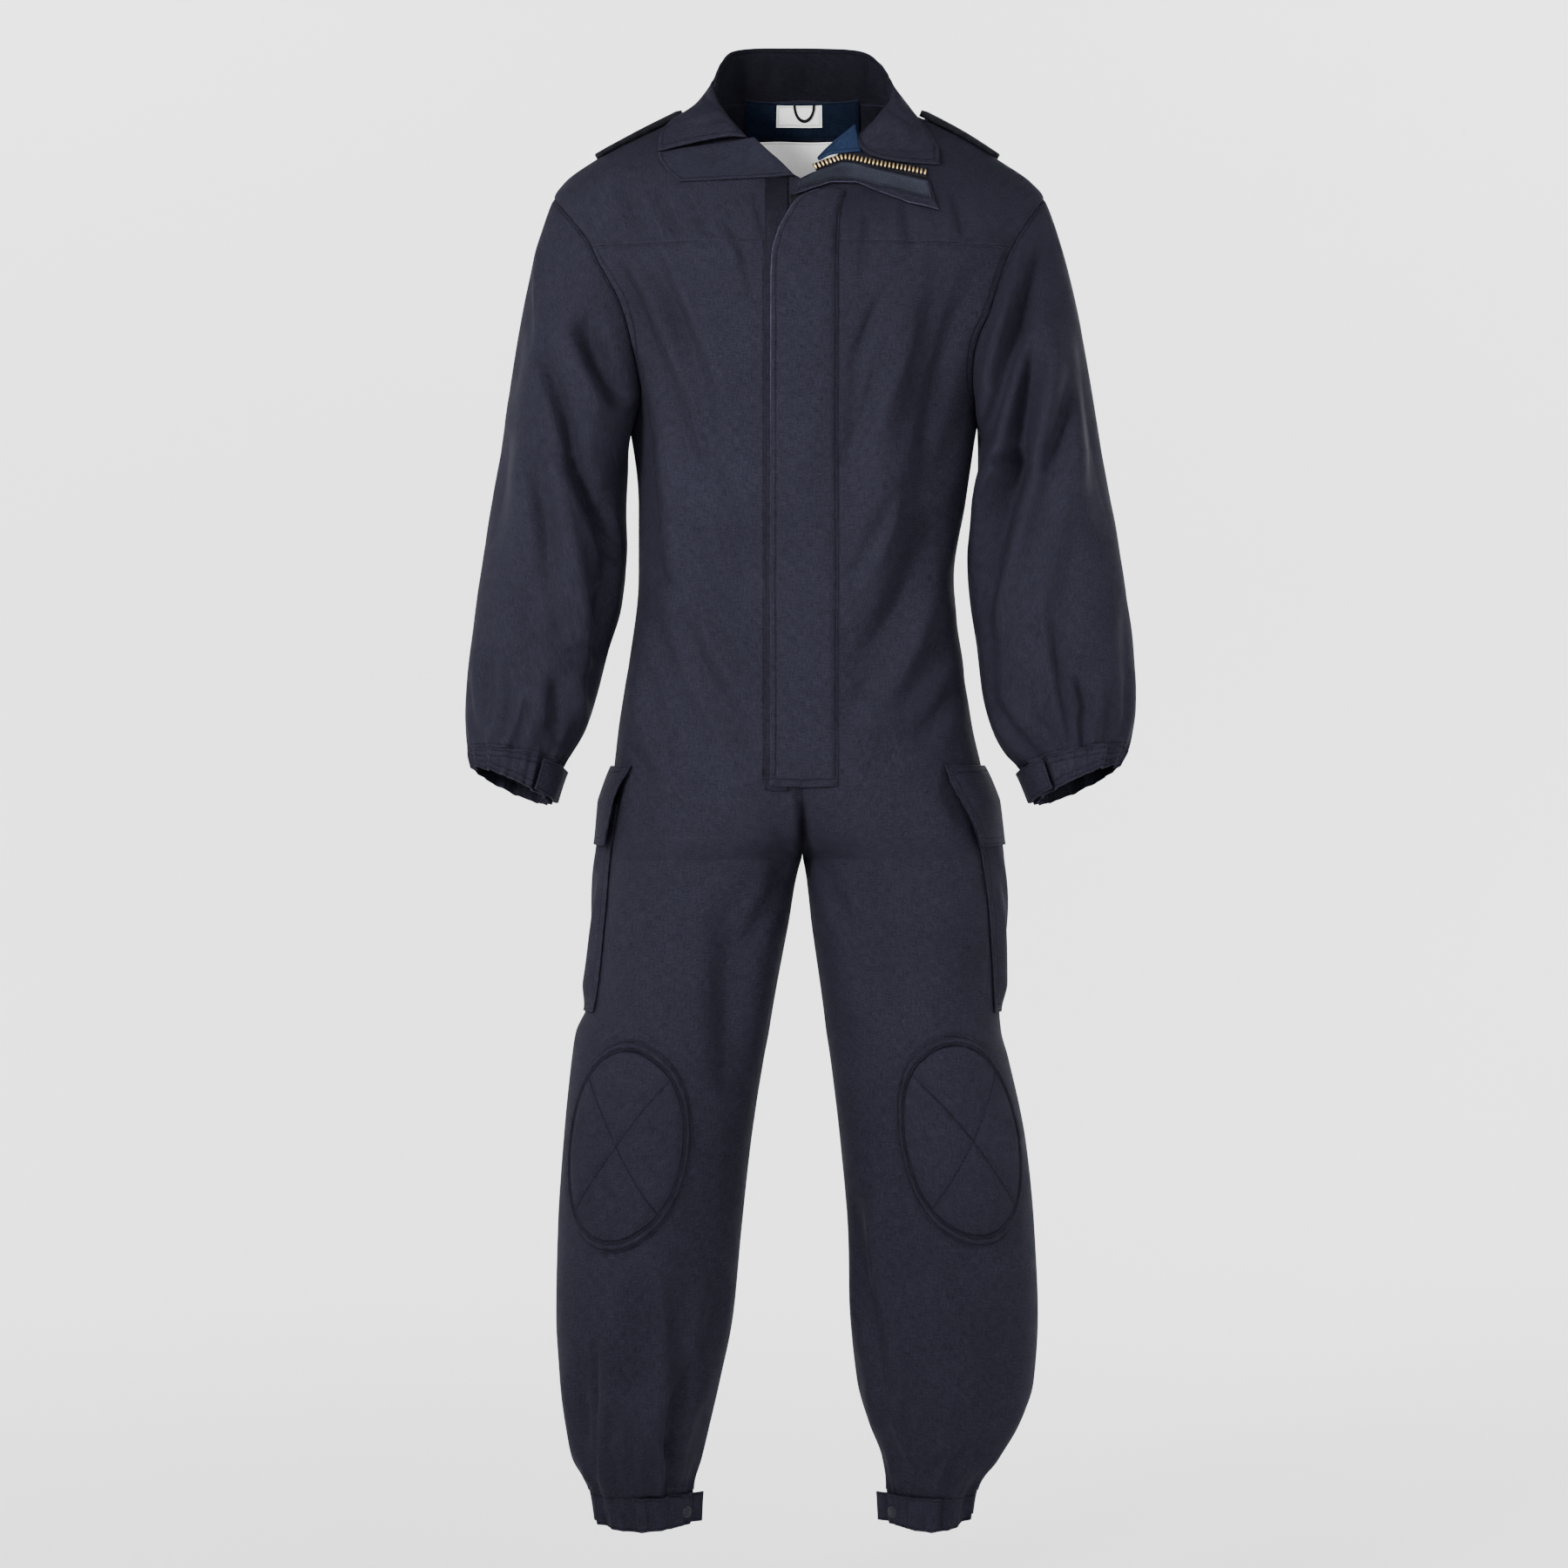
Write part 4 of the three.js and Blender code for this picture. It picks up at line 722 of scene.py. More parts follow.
def thread(name, lines, pitch=3.1, long=2.2, thick=0.45):
    """Stitches along lines of points: for each a grain with its ends at c +- t long / 2 and two
    rings of five points c +- t long / 4 + thick / 2 (n cos a + b sin a)."""
    parts = [follow(points, normals, pitch, pitch / 2) for points, normals in lines]
    centre = np.concatenate([part[0] for part in parts])
    tangent = np.concatenate([part[1] for part in parts])
    normal = np.concatenate([part[2] for part in parts])
    side = np.cross(tangent, normal)
    turn = np.radians(np.arange(5) * 72.0)
    around = normal[:, None] * np.cos(turn)[:, None] + side[:, None] * np.sin(turn)[:, None]
    around = around * (thick / 2)
    first = centre[:, None] - tangent[:, None] * long / 4 + around
    second = centre[:, None] + tangent[:, None] * long / 4 + around
    ends = np.stack([centre - tangent * long / 2, centre + tangent * long / 2], 1)
    points = np.concatenate([first, second, ends], 1)
    k = np.arange(5)
    after = (k + 1) % 5
    quads = np.stack([k, after, after + 5, k + 5], -1)
    caps = np.concatenate([
        np.stack([np.full(5, 10), after, k], -1),
        np.stack([np.full(5, 11), k + 5, after + 5], -1),
    ])
    offset = (np.arange(len(centre)) * 12)[:, None, None]
    return add_mesh(
        name, points.reshape(-1, 3),
        [(quads + offset).reshape(-1, 4), (caps + offset).reshape(-1, 3)],
    )


def teeth(name, lines, pitch=3.4, wide=1.8, across=5.4, high=2.2):
    """Zip teeth along lines of points: each a bar across the tape, of three hexagonal sections (w cos a, h sin a) that
    narrow at its outer end, closed by fans at both ends."""
    parts = [follow(points, normals, pitch, first) for points, normals, first in lines]
    centre = np.concatenate([part[0] for part in parts])
    tangent = np.concatenate([part[1] for part in parts])
    normal = np.concatenate([part[2] for part in parts])
    side = np.cross(tangent, normal)
    turn = np.radians(np.arange(6) * 60.0 + 30)
    section = np.stack([np.cos(turn) * wide / 2, np.sin(turn) * high / 2], -1)
    stations = ((-0.5, 0.72), (-0.38, 1.0), (0.34, 1.0), (0.5, 0.55))
    rings = []
    for place, scale in stations:
        middle = centre + side * across * place
        ring = (
            middle[:, None]
            + tangent[:, None] * section[:, :1] * scale
            + normal[:, None] * section[:, 1:] * scale
        )
        rings.append(ring)
    points = np.concatenate(rings, 1)
    k = np.arange(6)
    after = (k + 1) % 6
    quads = np.concatenate([np.stack([k, after, after + 6, k + 6], -1) + 6 * j for j in range(3)])
    fan = np.stack([np.zeros(4, int), np.arange(2, 6), np.arange(1, 5)], -1)
    last = np.stack([np.zeros(4, int), np.arange(1, 5), np.arange(2, 6)], -1) + 18
    offset = (np.arange(len(centre)) * 24)[:, None, None]
    return add_mesh(
        name, points.reshape(-1, 3),
        [
            (quads + offset).reshape(-1, 4),
            (np.concatenate([fan, last]) + offset).reshape(-1, 3),
        ],
    )


# Materials


def put(tree, kind, inputs=None, **settings):
    """A node with its settings, its inputs linked to sockets or set to values."""
    made = tree.nodes.new(kind)
    for key, value in settings.items():
        setattr(made, key, value)
    for key, value in (inputs or {}).items():
        if isinstance(value, bpy.types.NodeSocket):
            tree.links.new(value, made.inputs[key])
        else:
            made.inputs[key].default_value = value
    return made


def math(tree, operation, a, b=None, c=None):
    inputs = {0: a}
    if b is not None:
        inputs[1] = b
    if c is not None:
        inputs[2] = c
    return put(tree, "ShaderNodeMath", inputs, operation=operation).outputs[0]


def remap(tree, value, low, high, to_low, to_high):
    inputs = {0: value, 1: low, 2: high, 3: to_low, 4: to_high}
    return put(tree, "ShaderNodeMapRange", inputs, interpolation_type="SMOOTHSTEP").outputs[0]


def noise(tree, where, scale, detail=3.0, rough=0.55):
    inputs = {"Vector": where, "Scale": scale, "Detail": detail, "Roughness": rough}
    return put(tree, "ShaderNodeTexNoise", inputs).outputs["Fac"]


def cloth_material(
    name, colour, pitch=1.2, square=5.0, grid=0.05, weave=0.05, crumple=0.16,
    sheen=0.008, rough=0.8, fleck=0.3, tint=(0.55, 0.62, 0.9, 1), seam=0.4, wear=0.35,
):
    """Woven cloth. Height in millimetres: weave sin(k u) sin(k v) for the threads, grid for the
    ripstop's thicker ones, noise for the crumpling and grooves along the stitch lines."""
    material = bpy.data.materials.new(name)
    material.use_nodes = True
    tree = material.node_tree
    tree.nodes.clear()
    where = put(tree, "ShaderNodeTexCoord").outputs["Object"]
    uv = put(tree, "ShaderNodeUVMap", uv_map="cloth").outputs["UV"]
    split = put(tree, "ShaderNodeSeparateXYZ", {0: uv})
    u, v = split.outputs[0], split.outputs[1]
    marks = put(tree, "ShaderNodeAttribute", attribute_name="marks").outputs["Vector"]
    painted_shade_factor = put(tree, "ShaderNodeAttribute", attribute_name="tone").outputs["Fac"]
    lines = put(tree, "ShaderNodeSeparateXYZ", {0: marks})
    turn = 2 * np.pi / (pitch * MM)
    threads = math(
        tree, "MULTIPLY",
        math(tree, "SINE", math(tree, "MULTIPLY", u, turn)),
        math(tree, "SINE", math(tree, "MULTIPLY", v, turn)),
    )
    half = square * MM / 2
    thick = 0.45 * MM
    across = remap(tree, math(tree, "PINGPONG", u, half), 0.0, thick, 1.0, 0.0)
    along = remap(tree, math(tree, "PINGPONG", v, half), 0.0, thick, 1.0, 0.0)
    rip = math(tree, "MAXIMUM", across, along)
    broad = noise(tree, where, 9.0, 3.0)
    soft = noise(tree, where, 42.0, 3.0)
    small = noise(tree, where, 190.0, 2.0)
    grain = noise(tree, where, 1100.0, 2.0, 0.7)
    warp = put(tree, "ShaderNodeCombineXYZ", {
        0: math(tree, "MULTIPLY", u, 1300.0), 1: math(tree, "MULTIPLY", v, 110.0),
    }).outputs[0]
    weft = put(tree, "ShaderNodeCombineXYZ", {
        0: math(tree, "MULTIPLY", u, 110.0), 1: math(tree, "MULTIPLY", v, 1300.0), 2: 7.0,
    }).outputs[0]
    slub = math(tree, "ADD", noise(tree, warp, 1.0, 2.0), noise(tree, weft, 1.0, 2.0))
    first = remap(tree, math(tree, "ABSOLUTE", lines.outputs[0]), 0.25, 1.5, 1.0, 0.0)
    second = remap(tree, math(tree, "ABSOLUTE", lines.outputs[1]), 0.25, 1.5, 1.0, 0.0)
    groove = math(tree, "MAXIMUM", first, second)
    near = remap(tree, lines.outputs[2], 0.2, 1.9, 1.0, 0.0)
    height = math(tree, "MULTIPLY", threads, weave)
    height = math(tree, "MULTIPLY_ADD", rip, grid, height)
    height = math(tree, "MULTIPLY_ADD", soft, crumple, height)
    height = math(tree, "MULTIPLY_ADD", small, crumple * 0.35, height)
    height = math(tree, "MULTIPLY_ADD", grain, 0.05, height)
    height = math(tree, "MULTIPLY_ADD", groove, -seam, height)
    bump = put(
        tree, "ShaderNodeBump", {"Height": height, "Distance": MM, "Strength": 1.0}
    ).outputs[0]
    tone = remap(tree, broad, 0.25, 0.75, 0.92, 1.08)
    tone = math(tree, "MULTIPLY", tone, remap(tree, grain, 0.3, 0.7, 1 - fleck, 1 + fleck))
    tone = math(tree, "MULTIPLY", tone, remap(tree, slub, 0.75, 1.25, 1 - fleck, 1 + fleck))
    tone = math(tree, "MULTIPLY_ADD", rip, 0.1, tone)
    # Painted shade: the colour is darkened by 0.28 along the stitch grooves, on top of their bump.
    tone = math(tree, "MULTIPLY_ADD", groove, -0.28, tone)
    worn = math(tree, "MULTIPLY", near, remap(tree, small, 0.3, 0.7, 0.3, 1.0))
    tone = math(tree, "MULTIPLY_ADD", worn, wear, tone)
    # Painted shade: the colour is multiplied by the mesh's tone attribute, below 1 where a part lies in shade.
    tone = math(tree, "MULTIPLY", tone, painted_shade_factor)
    shade = put(
        tree, "ShaderNodeVectorMath", {0: colour[:3], "Scale": tone}, operation="SCALE"
    ).outputs[0]
    roughness = remap(tree, soft, 0.2, 0.8, rough - 0.05, rough + 0.05)
    shader = put(tree, "ShaderNodeBsdfPrincipled", {
        "Base Color": shade, "Roughness": roughness, "Normal": bump, "Sheen Weight": sheen,
        "Sheen Roughness": 0.35, "Sheen Tint": tint, "Specular IOR Level": 0.02,
    })
    put(tree, "ShaderNodeOutputMaterial", {"Surface": shader.outputs[0]})
    return material


def metal_material(name, colour, rough):
    """Metal with fine scratches and a dull skin that noise breaks up."""
    material = bpy.data.materials.new(name)
    material.use_nodes = True
    tree = material.node_tree
    tree.nodes.clear()
    where = put(tree, "ShaderNodeTexCoord").outputs["Object"]
    fine = noise(tree, where, 1400.0, 4.0)
    broad = noise(tree, where, 160.0, 2.0)
    tone = remap(tree, broad, 0.3, 0.7, 0.78, 1.1)
    shade = put(
        tree, "ShaderNodeVectorMath", {0: colour[:3], "Scale": tone}, operation="SCALE"
    ).outputs[0]
    roughness = remap(tree, fine, 0.2, 0.8, rough - 0.08, rough + 0.12)
    bump = put(
        tree, "ShaderNodeBump", {"Height": fine, "Distance": 0.00005, "Strength": 0.6}
    ).outputs[0]
    shader = put(tree, "ShaderNodeBsdfPrincipled", {
        "Base Color": shade, "Roughness": roughness, "Normal": bump, "Metallic": 1.0,
    })
    put(tree, "ShaderNodeOutputMaterial", {"Surface": shader.outputs[0]})
    return material


MATERIALS = {}


def material(key):
    """The material of a kind, made on first use from the colours in the panel."""
    if key in MATERIALS:
        return MATERIALS[key]
    colours = bpy.context.scene.suit_colours
    if key == "navy":
        made = cloth_material("navy_ripstop", colours.navy)
    elif key == "padding":
        made = cloth_material("navy_padding", colours.navy, crumple=0.5)
    elif key == "folded":
        # The flap's cloth is the navy with its edges drawn much lighter than elsewhere: 2.4 against 0.35.
        made = cloth_material("navy_folded", colours.navy, wear=2.4)
    elif key == "neck":
        # Painted shade: the neck's facing is the blue facing cloth at 0.42 of its colour, for the shade inside the
        # back of the neck.
        made = cloth_material("facing_blue_painted_shade", [0.42 * part for part in colours.blue], square=4.0, grid=0.02, sheen=0.05)
    elif key == "facing":
        made = cloth_material("facing", colours.facing, square=4.0, grid=0.02, sheen=0.02)
    elif key == "blue":
        made = cloth_material("facing_blue", colours.blue, square=4.0, grid=0.02, sheen=0.02)
    elif key == "black":
        made = cloth_material(
            "black_webbing", colours.webbing, pitch=1.6, square=8.0, weave=0.12, crumple=0.1,
            fleck=0.3, wear=0.5,
        )
    elif key == "loops":
        made = cloth_material(
            "hook_and_loop", colours.webbing, pitch=0.9, square=20.0, weave=0.3, crumple=0.2,
            fleck=0.5, rough=0.94, sheen=0.15, wear=0.2,
        )
    elif key == "label":
        made = cloth_material(
            "white_label", colours.label, pitch=0.6, square=30.0, grid=0.0, weave=0.03,
            crumple=0.25, fleck=0.04, sheen=0.1, rough=0.6, tint=(1, 1, 1, 1), wear=0.0,
        )
    elif key == "thread":
        made = cloth_material(
            "thread", colours.thread, pitch=0.5, square=50.0, grid=0.0, crumple=0.0, fleck=0.1,
        )
    elif key == "brass":
        made = metal_material("brass", colours.brass, 0.3)
    else:
        made = metal_material("stud_metal", colours.stud, 0.5)
    MATERIALS[key] = made
    return made


class SuitSizes(bpy.types.PropertyGroup):
    """Sizes of the looks that a user may change."""

    stitch_pitch: bpy.props.FloatProperty(
        name="Stitch pitch", description="Distance from one stitch to the next", default=0.0031,
        min=0.001, max=0.01, unit="LENGTH", subtype="DISTANCE",
    )
    tooth_pitch: bpy.props.FloatProperty(
        name="Tooth pitch", description="Distance from one zip tooth to the next",
        default=0.0034, min=0.001, max=0.006, unit="LENGTH", subtype="DISTANCE",
    )
    detail: bpy.props.FloatProperty(
        name="Detail", description="Share of the full number of rows and columns of the cloth",
        default=1.0, min=0.3, max=1.5, subtype="FACTOR",
    )


class SuitColours(bpy.types.PropertyGroup):
    """Colours of the suit's materials."""

    navy: bpy.props.FloatVectorProperty(
        name="Navy ripstop", description="Cloth of the suit", subtype="COLOR", size=3,
        default=(0.009, 0.0087, 0.0137), min=0, max=1,
    )
    facing: bpy.props.FloatVectorProperty(
        name="Facing", description="Inner side of the fronts", subtype="COLOR", size=3,
        default=(0.0094, 0.0092, 0.0146), min=0, max=1,
    )
    blue: bpy.props.FloatVectorProperty(
        name="Blue facing", description="Facing inside the neck", subtype="COLOR", size=3,
        default=(0.0078, 0.0132, 0.0295), min=0, max=1,
    )
    webbing: bpy.props.FloatVectorProperty(
        name="Black webbing", description="Shoulder tabs, loops and zip tapes",
        subtype="COLOR", size=3, default=(0.0058, 0.0058, 0.0074), min=0, max=1,
    )
    label: bpy.props.FloatVectorProperty(
        name="Label", description="Woven labels", subtype="COLOR", size=3,
        default=(0.75, 0.75, 0.74), min=0, max=1,
    )
    thread: bpy.props.FloatVectorProperty(
        name="Thread", description="Sewing thread", subtype="COLOR", size=3,
        default=(0.0058, 0.0058, 0.0095), min=0, max=1,
    )
    brass: bpy.props.FloatVectorProperty(
        name="Brass", description="Zip teeth and slider", subtype="COLOR", size=3,
        default=(0.78, 0.57, 0.28), min=0, max=1,
    )
    stud: bpy.props.FloatVectorProperty(
        name="Studs", description="Press studs of the ankles", subtype="COLOR", size=3,
        default=(0.02, 0.02, 0.024), min=0, max=1,
    )


def steps(count):
    share = bpy.context.scene.suit_sizes.detail * 1.0
    return max(2, int(round(count * share)))


class SUIT_OT_stage(bpy.types.Operator):
    """Sets a pale sweep of floor and backdrop, soft studio lights and the picture's camera"""

    bl_idname = "suit.stage"
    bl_label = "Stage"

    def execute(self, context):
        scene = context.scene
        # Profile of the cove: a flat floor, a quarter round of radius r, a wall; turned full circle.
        turn = np.radians(np.linspace(0, 90, 16))
        floor, radius, back = -1.62, 1.4, 5.0
        out = np.concatenate([[0.6, 2.0], back - radius + radius * np.sin(turn), [back]])
        z = np.concatenate([[floor, floor], floor + radius - radius * np.cos(turn), [4.6]])
        around = np.radians(np.linspace(0, 360, 96, endpoint=False))[None, :]
        points = stack(
            out[:, None] * np.sin(around), out[:, None] * np.cos(around), z[:, None] + 0 * around
        ).reshape(-1, 3) / MM
        index = np.arange(len(points)).reshape(len(out), 96)
        after = np.roll(index, -1, 1)
        quads = np.stack([index[:-1], index[1:], after[1:], after[:-1]], -1).reshape(-1, 4)
        middle = np.stack([index[0], after[0], np.full(96, len(points))], -1)
        points = np.concatenate([points, [[0.0, 0.0, floor / MM]]])
        sweep = add_mesh("studio_cove", points, [quads, middle])
        paper = bpy.data.materials.new("studio_paper")
        paper.use_nodes = True
        tree = paper.node_tree
        shader = tree.nodes["Principled BSDF"]
        shader.inputs["Base Color"].default_value = (0.9, 0.9, 0.9, 1)
        shader.inputs["Roughness"].default_value = 0.95
        shader.inputs["Specular IOR Level"].default_value = 0.0
        sweep.data.materials.append(paper)
        world = bpy.data.worlds.new("studio")
        scene.world = world
        world.use_nodes = True
        world.node_tree.nodes["Background"].inputs["Color"].default_value = (1, 1, 1, 1)
        world.node_tree.nodes["Background"].inputs["Strength"].default_value = 0.03
        lights = [
            ("key", (-1.8, -2.7, 0.35), (-0.02, 0.0, -0.38), 0.6, 11.0, 40),
            ("fill", (0.9, -3.4, 0.1), (0.03, 0.0, -0.38), 1.2, 1.6, 44),
            ("rear", (1.2, 3.2, 0.6), (0.0, 0.0, -0.45), 1.0, 6.0, 50),
        ]
        # Six lamps high above the suit face outwards and light the cove's wall all round.
        for k in range(6):
            way = np.array([np.sin(k * np.pi / 3 + 0.52), np.cos(k * np.pi / 3 + 0.52)])
            place, target = (*(2.9 * way), 3.0), (*(5.0 * way), -0.5)
            lights.append(("wall_%d" % k, place, target, 1.4, 155, 150))
        for name, place, target, size, energy, spread_angle in lights:
            lamp = bpy.data.lights.new(name, "AREA")
            lamp.shape = "SQUARE"
            lamp.size = size
            lamp.energy = energy
            lamp.spread = float(np.radians(spread_angle))
            obj = bpy.data.objects.new(name, lamp)
            scene.collection.objects.link(obj)
            obj.location = place
            obj.visible_camera = False
            away = np.array(place) - np.array(target)
            flat = float(np.hypot(away[0], away[1]))
            obj.rotation_euler = (
                float(np.arctan2(flat, away[2])), 0.0, float(np.arctan2(away[0], -away[1])),
            )
        lens = bpy.data.cameras.new("camera")
        lens.sensor_width = 36
        lens.sensor_fit = "HORIZONTAL"
        lens.lens = 91.3
        camera = bpy.data.objects.new("camera", lens)
        scene.collection.objects.link(camera)
        camera.location = (VIEW_X * MM, -VIEW_BACK * MM, VIEW_Z * MM)
        camera.rotation_euler = (float(np.pi / 2), 0.0, 0.0)
        scene.camera = camera
        return {"FINISHED"}


def panel_grid(side, face):
    """Angles and heights of a panel, from the centre or inseam to the armhole or side seam."""
    rows = steps(250 if face == "front" else 190)
    z = spread(YOKE_SEAM - SEAM / 2, FRONT_FOOT + SEAM / 2, rows)[:, None]
    across = np.clip((z - ARMHOLE_MIDDLE) / ARMHOLE_HALF, -1, 1)
    turn = np.degrees(np.arccos(across))
    edge = np.where(z > ARMHOLE_FOOT, armhole(turn if face == "front" else -turn)[0], 90.0)
    inset = np.degrees(SEAM / 2 / half_section(side, z)[1])
    start = inner_angle(side, z)
    if face == "back":
        start, edge = 180 - start, edge + inset
    else:
        edge = edge - inset
    share = spread(0, 1, steps(72), near=(0.006, 0.02))[None, :]
    angle = lerp(start, edge, share)
    return angle, np.broadcast_to(z, angle.shape)


def panel_marks(outer, face):
    """Stitch lines 7 mm from the armhole and side seam, and the seam beside the storm flap."""
    down = lengths(outer, 0)
    along = lengths(outer, 1)
    side = along[:, -1:] - along
    first = side - 7
    second = along - 6
    if face == "front":
        second = np.where(outer[..., 2] > FLAP_FOOT, outer[..., 0] + 40.0, 99.0)
    away = np.minimum(np.minimum(side, down), along)
    return stack(first, second, away)


class SUIT_OT_body_panels(bpy.types.Operator):
    """Cuts the four long panels: (angle, z) on the body's superellipses, with creases, as walls"""

    bl_idname = "suit.body_panels"
    bl_label = "Body panels"

    def execute(self, context):
        for side in SIDES:
            for face in ("front", "back"):
                angle, z = panel_grid(side, face)
                outer = body_surface(side, angle, z)
                marks = panel_marks(outer, face)
                dip = 0.4 * np.exp(-((marks[..., 2] / 1.4) ** 2))
                normal = body_normal(side, angle, z)
                inner = outer - normal * CLOTH
                outer = outer - normal * dip[..., None]
                # The centre seam is drawn shut: its shift fades over the nearest part of the width.
                fade = np.where(z > CROTCH, np.linspace(1, 0, angle.shape[1]) ** 16, 0)
                for points in (outer, inner):
                    points[..., 0] -= (points[:, :1, 0] - SIDES[side] * 0.03) * fade
                # Painted shadow: near the centre seam from z -690 down to -800 the panels are darkened by up to 0.75,
                # in a band that widens downwards, for the shade in the crotch's wedge.
                reach = np.clip((-690 - outer[..., 2]) / 60, 0, 1)
                close = np.exp(-((outer[..., 0] / (1 + 5 * reach)) ** 2))
                shade = 1 - 0.75 * close * np.clip(reach * 4, 0, 1) * (outer[..., 2] > -800)
                name = face + "_" + side
                made = wall(
                    name + "_cloth", outer, inner, False, marks, np.tile(shade.ravel(), 2),
                )
                finish_piece(made, [name], material("navy"))
        return {"FINISHED"}


def yoke_side(side):
    """Neck angle, outer angle and outer height of one half of the yoke, front to back."""
    share = np.linspace(0, 1, steps(84))
    front_seam, _ = armhole(YOKE_TURN)
    back_seam, _ = armhole(-YOKE_TURN)
    start = -0.03
    round_angle, round_z = armhole(lerp(YOKE_TURN, -YOKE_TURN, share))
    lift = (SEAM / 2) * (np.abs(2 * share - 1) ** 12)
    neck_angle = [lerp(start, 44, share), lerp(44, 132, share), lerp(132, 180, share)]
    angle = [lerp(start, front_seam, share), round_angle, lerp(back_seam, 180, share)]
    height = [np.full_like(share, YOKE_SEAM + SEAM / 2), round_z + lift]
    height.append(np.full_like(share, YOKE_SEAM + SEAM / 2))
    join = lambda parts: np.concatenate([parts[0][:-1], parts[1][:-1], parts[2]])
    return join(neck_angle), join(angle), join(height)


class SUIT_OT_yoke(bpy.types.Operator):
    """Lays the yoke over the shoulders: straight lines in (angle, z) from neck edge to seams"""

    bl_idname = "suit.yoke"
    bl_label = "Yoke"

    def execute(self, context):
        share = spread(0, 1, steps(48), near=(0.008, 0.025))[:, None]
        grids = []
        for side in SIDES:
            neck_angle, edge, height = yoke_side(side)
            angle = lerp(neck_angle, edge, share)
            z = lerp(neck["z"](neck_angle), height, share**0.9)
            outer = body_surface(side, angle, z)
            normal = body_normal(side, angle, z)
            grids.append((outer, normal))
        outer = np.concatenate([grids[0][0], grids[1][0][:, ::-1][:, 1:]], 1)
        normal = np.concatenate([grids[0][1], grids[1][1][:, ::-1][:, 1:]], 1)
        down = lengths(outer, 0)
        foot = down[-1:] - down
        marks = stack(99 + foot, down - 4, np.minimum(foot, down))
        dip = 0.4 * np.exp(-((marks[..., 2] / 1.4) ** 2))
        made = wall(
            "yoke_cloth", outer - normal * dip[..., None], outer - normal * CLOTH, marks=marks
        )
        finish_piece(made, ["yoke"], material("navy"))
        return {"FINISHED"}


def sleeve_tube(side, turn, station):
    """x = s (X + w cos t cos l), y = Y - d sin t cos p, z = Z + w cos t sin l + d sin t sin p."""
    at = sleeves[side]
    lean = np.radians(at["lean"](station))
    outwards = np.cos(np.radians(turn)) * at["wide"](station)
    forwards = np.sin(np.radians(turn)) * at["deep"](station)
    pitch = np.radians(12) * np.clip(station / SLEEVE_END, 0, 1)
    return stack(
        SIDES[side] * (at["x"](station) + outwards * np.cos(lean)),
        at["y"](station) - forwards * np.cos(pitch),
        at["z"](station) + outwards * np.sin(lean) + forwards * np.sin(pitch),
    )


def sleeve_move(side, turn, down, point):
    """Folds by turn and length, and creases by where the point is seen, front and back."""
    wrapped = np.mod(turn, 360)
    total = np.zeros(point.shape[:-1])
    for row in SLEEVE_FOLDS:
        near = np.where(wrapped - row[0] > 180, wrapped - 360, wrapped)
        flat = np.radians(near) * SLEEVE_RADIUS
        line = [
            np.radians(row[0]) * SLEEVE_RADIUS, row[1] * SLEEVE_LONG,
            np.radians(row[2]) * SLEEVE_RADIUS, row[3] * SLEEVE_LONG, row[4], row[5],
        ]
        total += folds(flat, down * SLEEVE_LONG, [line])
    across = np.sin(np.radians(turn))
    facing = np.clip(np.abs(across) * 2.5, 0, 1)
    seen_x, seen_z = seen(point[..., 0], point[..., 1], point[..., 2])
    front = creases(seen_x, seen_z, SLEEVE_CREASES[side])
    back = creases(point[..., 0], point[..., 2], SLEEVE_BACK[side])
    above = (1 - down) * SLEEVE_LONG * 0.75
    return total, np.where(across > 0, front, back) * facing * 1.5 + gathers(turn, above) * 0.8


def sleeve_surface(side, turn, down):
    """The armhole's edge drawn straight to the first section, rounded out at its head, and below it
    the tube through the sections; moved along the radius by folds, creases and gathers."""
    turn, down = np.broadcast_arrays(np.asarray(turn, float), np.asarray(down, float))
    s = SIDES[side]
    at = sleeves[side]
    station = np.clip((down - CAP_SHARE) / (1 - CAP_SHARE), 0, 1) * SLEEVE_END
    tube = sleeve_tube(side, turn, station)
    tube_centre = stack(s * at["x"](station), at["y"](station), at["z"](station))
    t = np.clip(down / CAP_SHARE, 0, 1)
    angle, z = armhole(np.where(np.mod(turn, 360) > 180, np.mod(turn, 360) - 360, np.mod(turn, 360)))
    gap = SEAM - 1.0 * np.clip(-np.cos(np.radians(turn)), 0, 1) ** 2
    start = body_surface(side, angle, z) + stack(s * gap, 0, 0)
    end = sleeve_tube(side, turn, np.zeros_like(down))
    cap = lerp(start, end, t[..., None])
    head = np.maximum(0, np.cos(np.radians(turn))) * CAP_ROUND * np.sin(np.pi * t**0.7)
    forward = np.sin(np.radians(turn)) * 10 * np.sin(np.pi * t)
    cap = cap + stack(s * head, -forward, 0)
    cap_centre = stack(s * lerp(215, 251, t), 0 * t, lerp(-178, -340, t))
    below = (down >= CAP_SHARE)[..., None]
    point = np.where(below, tube, cap)
    out = unit(point - np.where(below, tube_centre, cap_centre))
    large, small = sleeve_move(side, turn, down, point)
    fade = np.clip(down / 0.03, 0, 1)
    return point + out * (large * t + small * fade)[..., None]


def sleeve_grid(side, turn, down):
    """The sleeve's surface and its outward normals on a ring grid."""
    outer = sleeve_surface(side, turn, down)
    normal = grid_normals(outer, ring=True)
    centre = outer.mean(1, keepdims=True)
    flip = np.sign(((outer - centre) * normal).sum(-1).mean())
    return outer, normal * flip


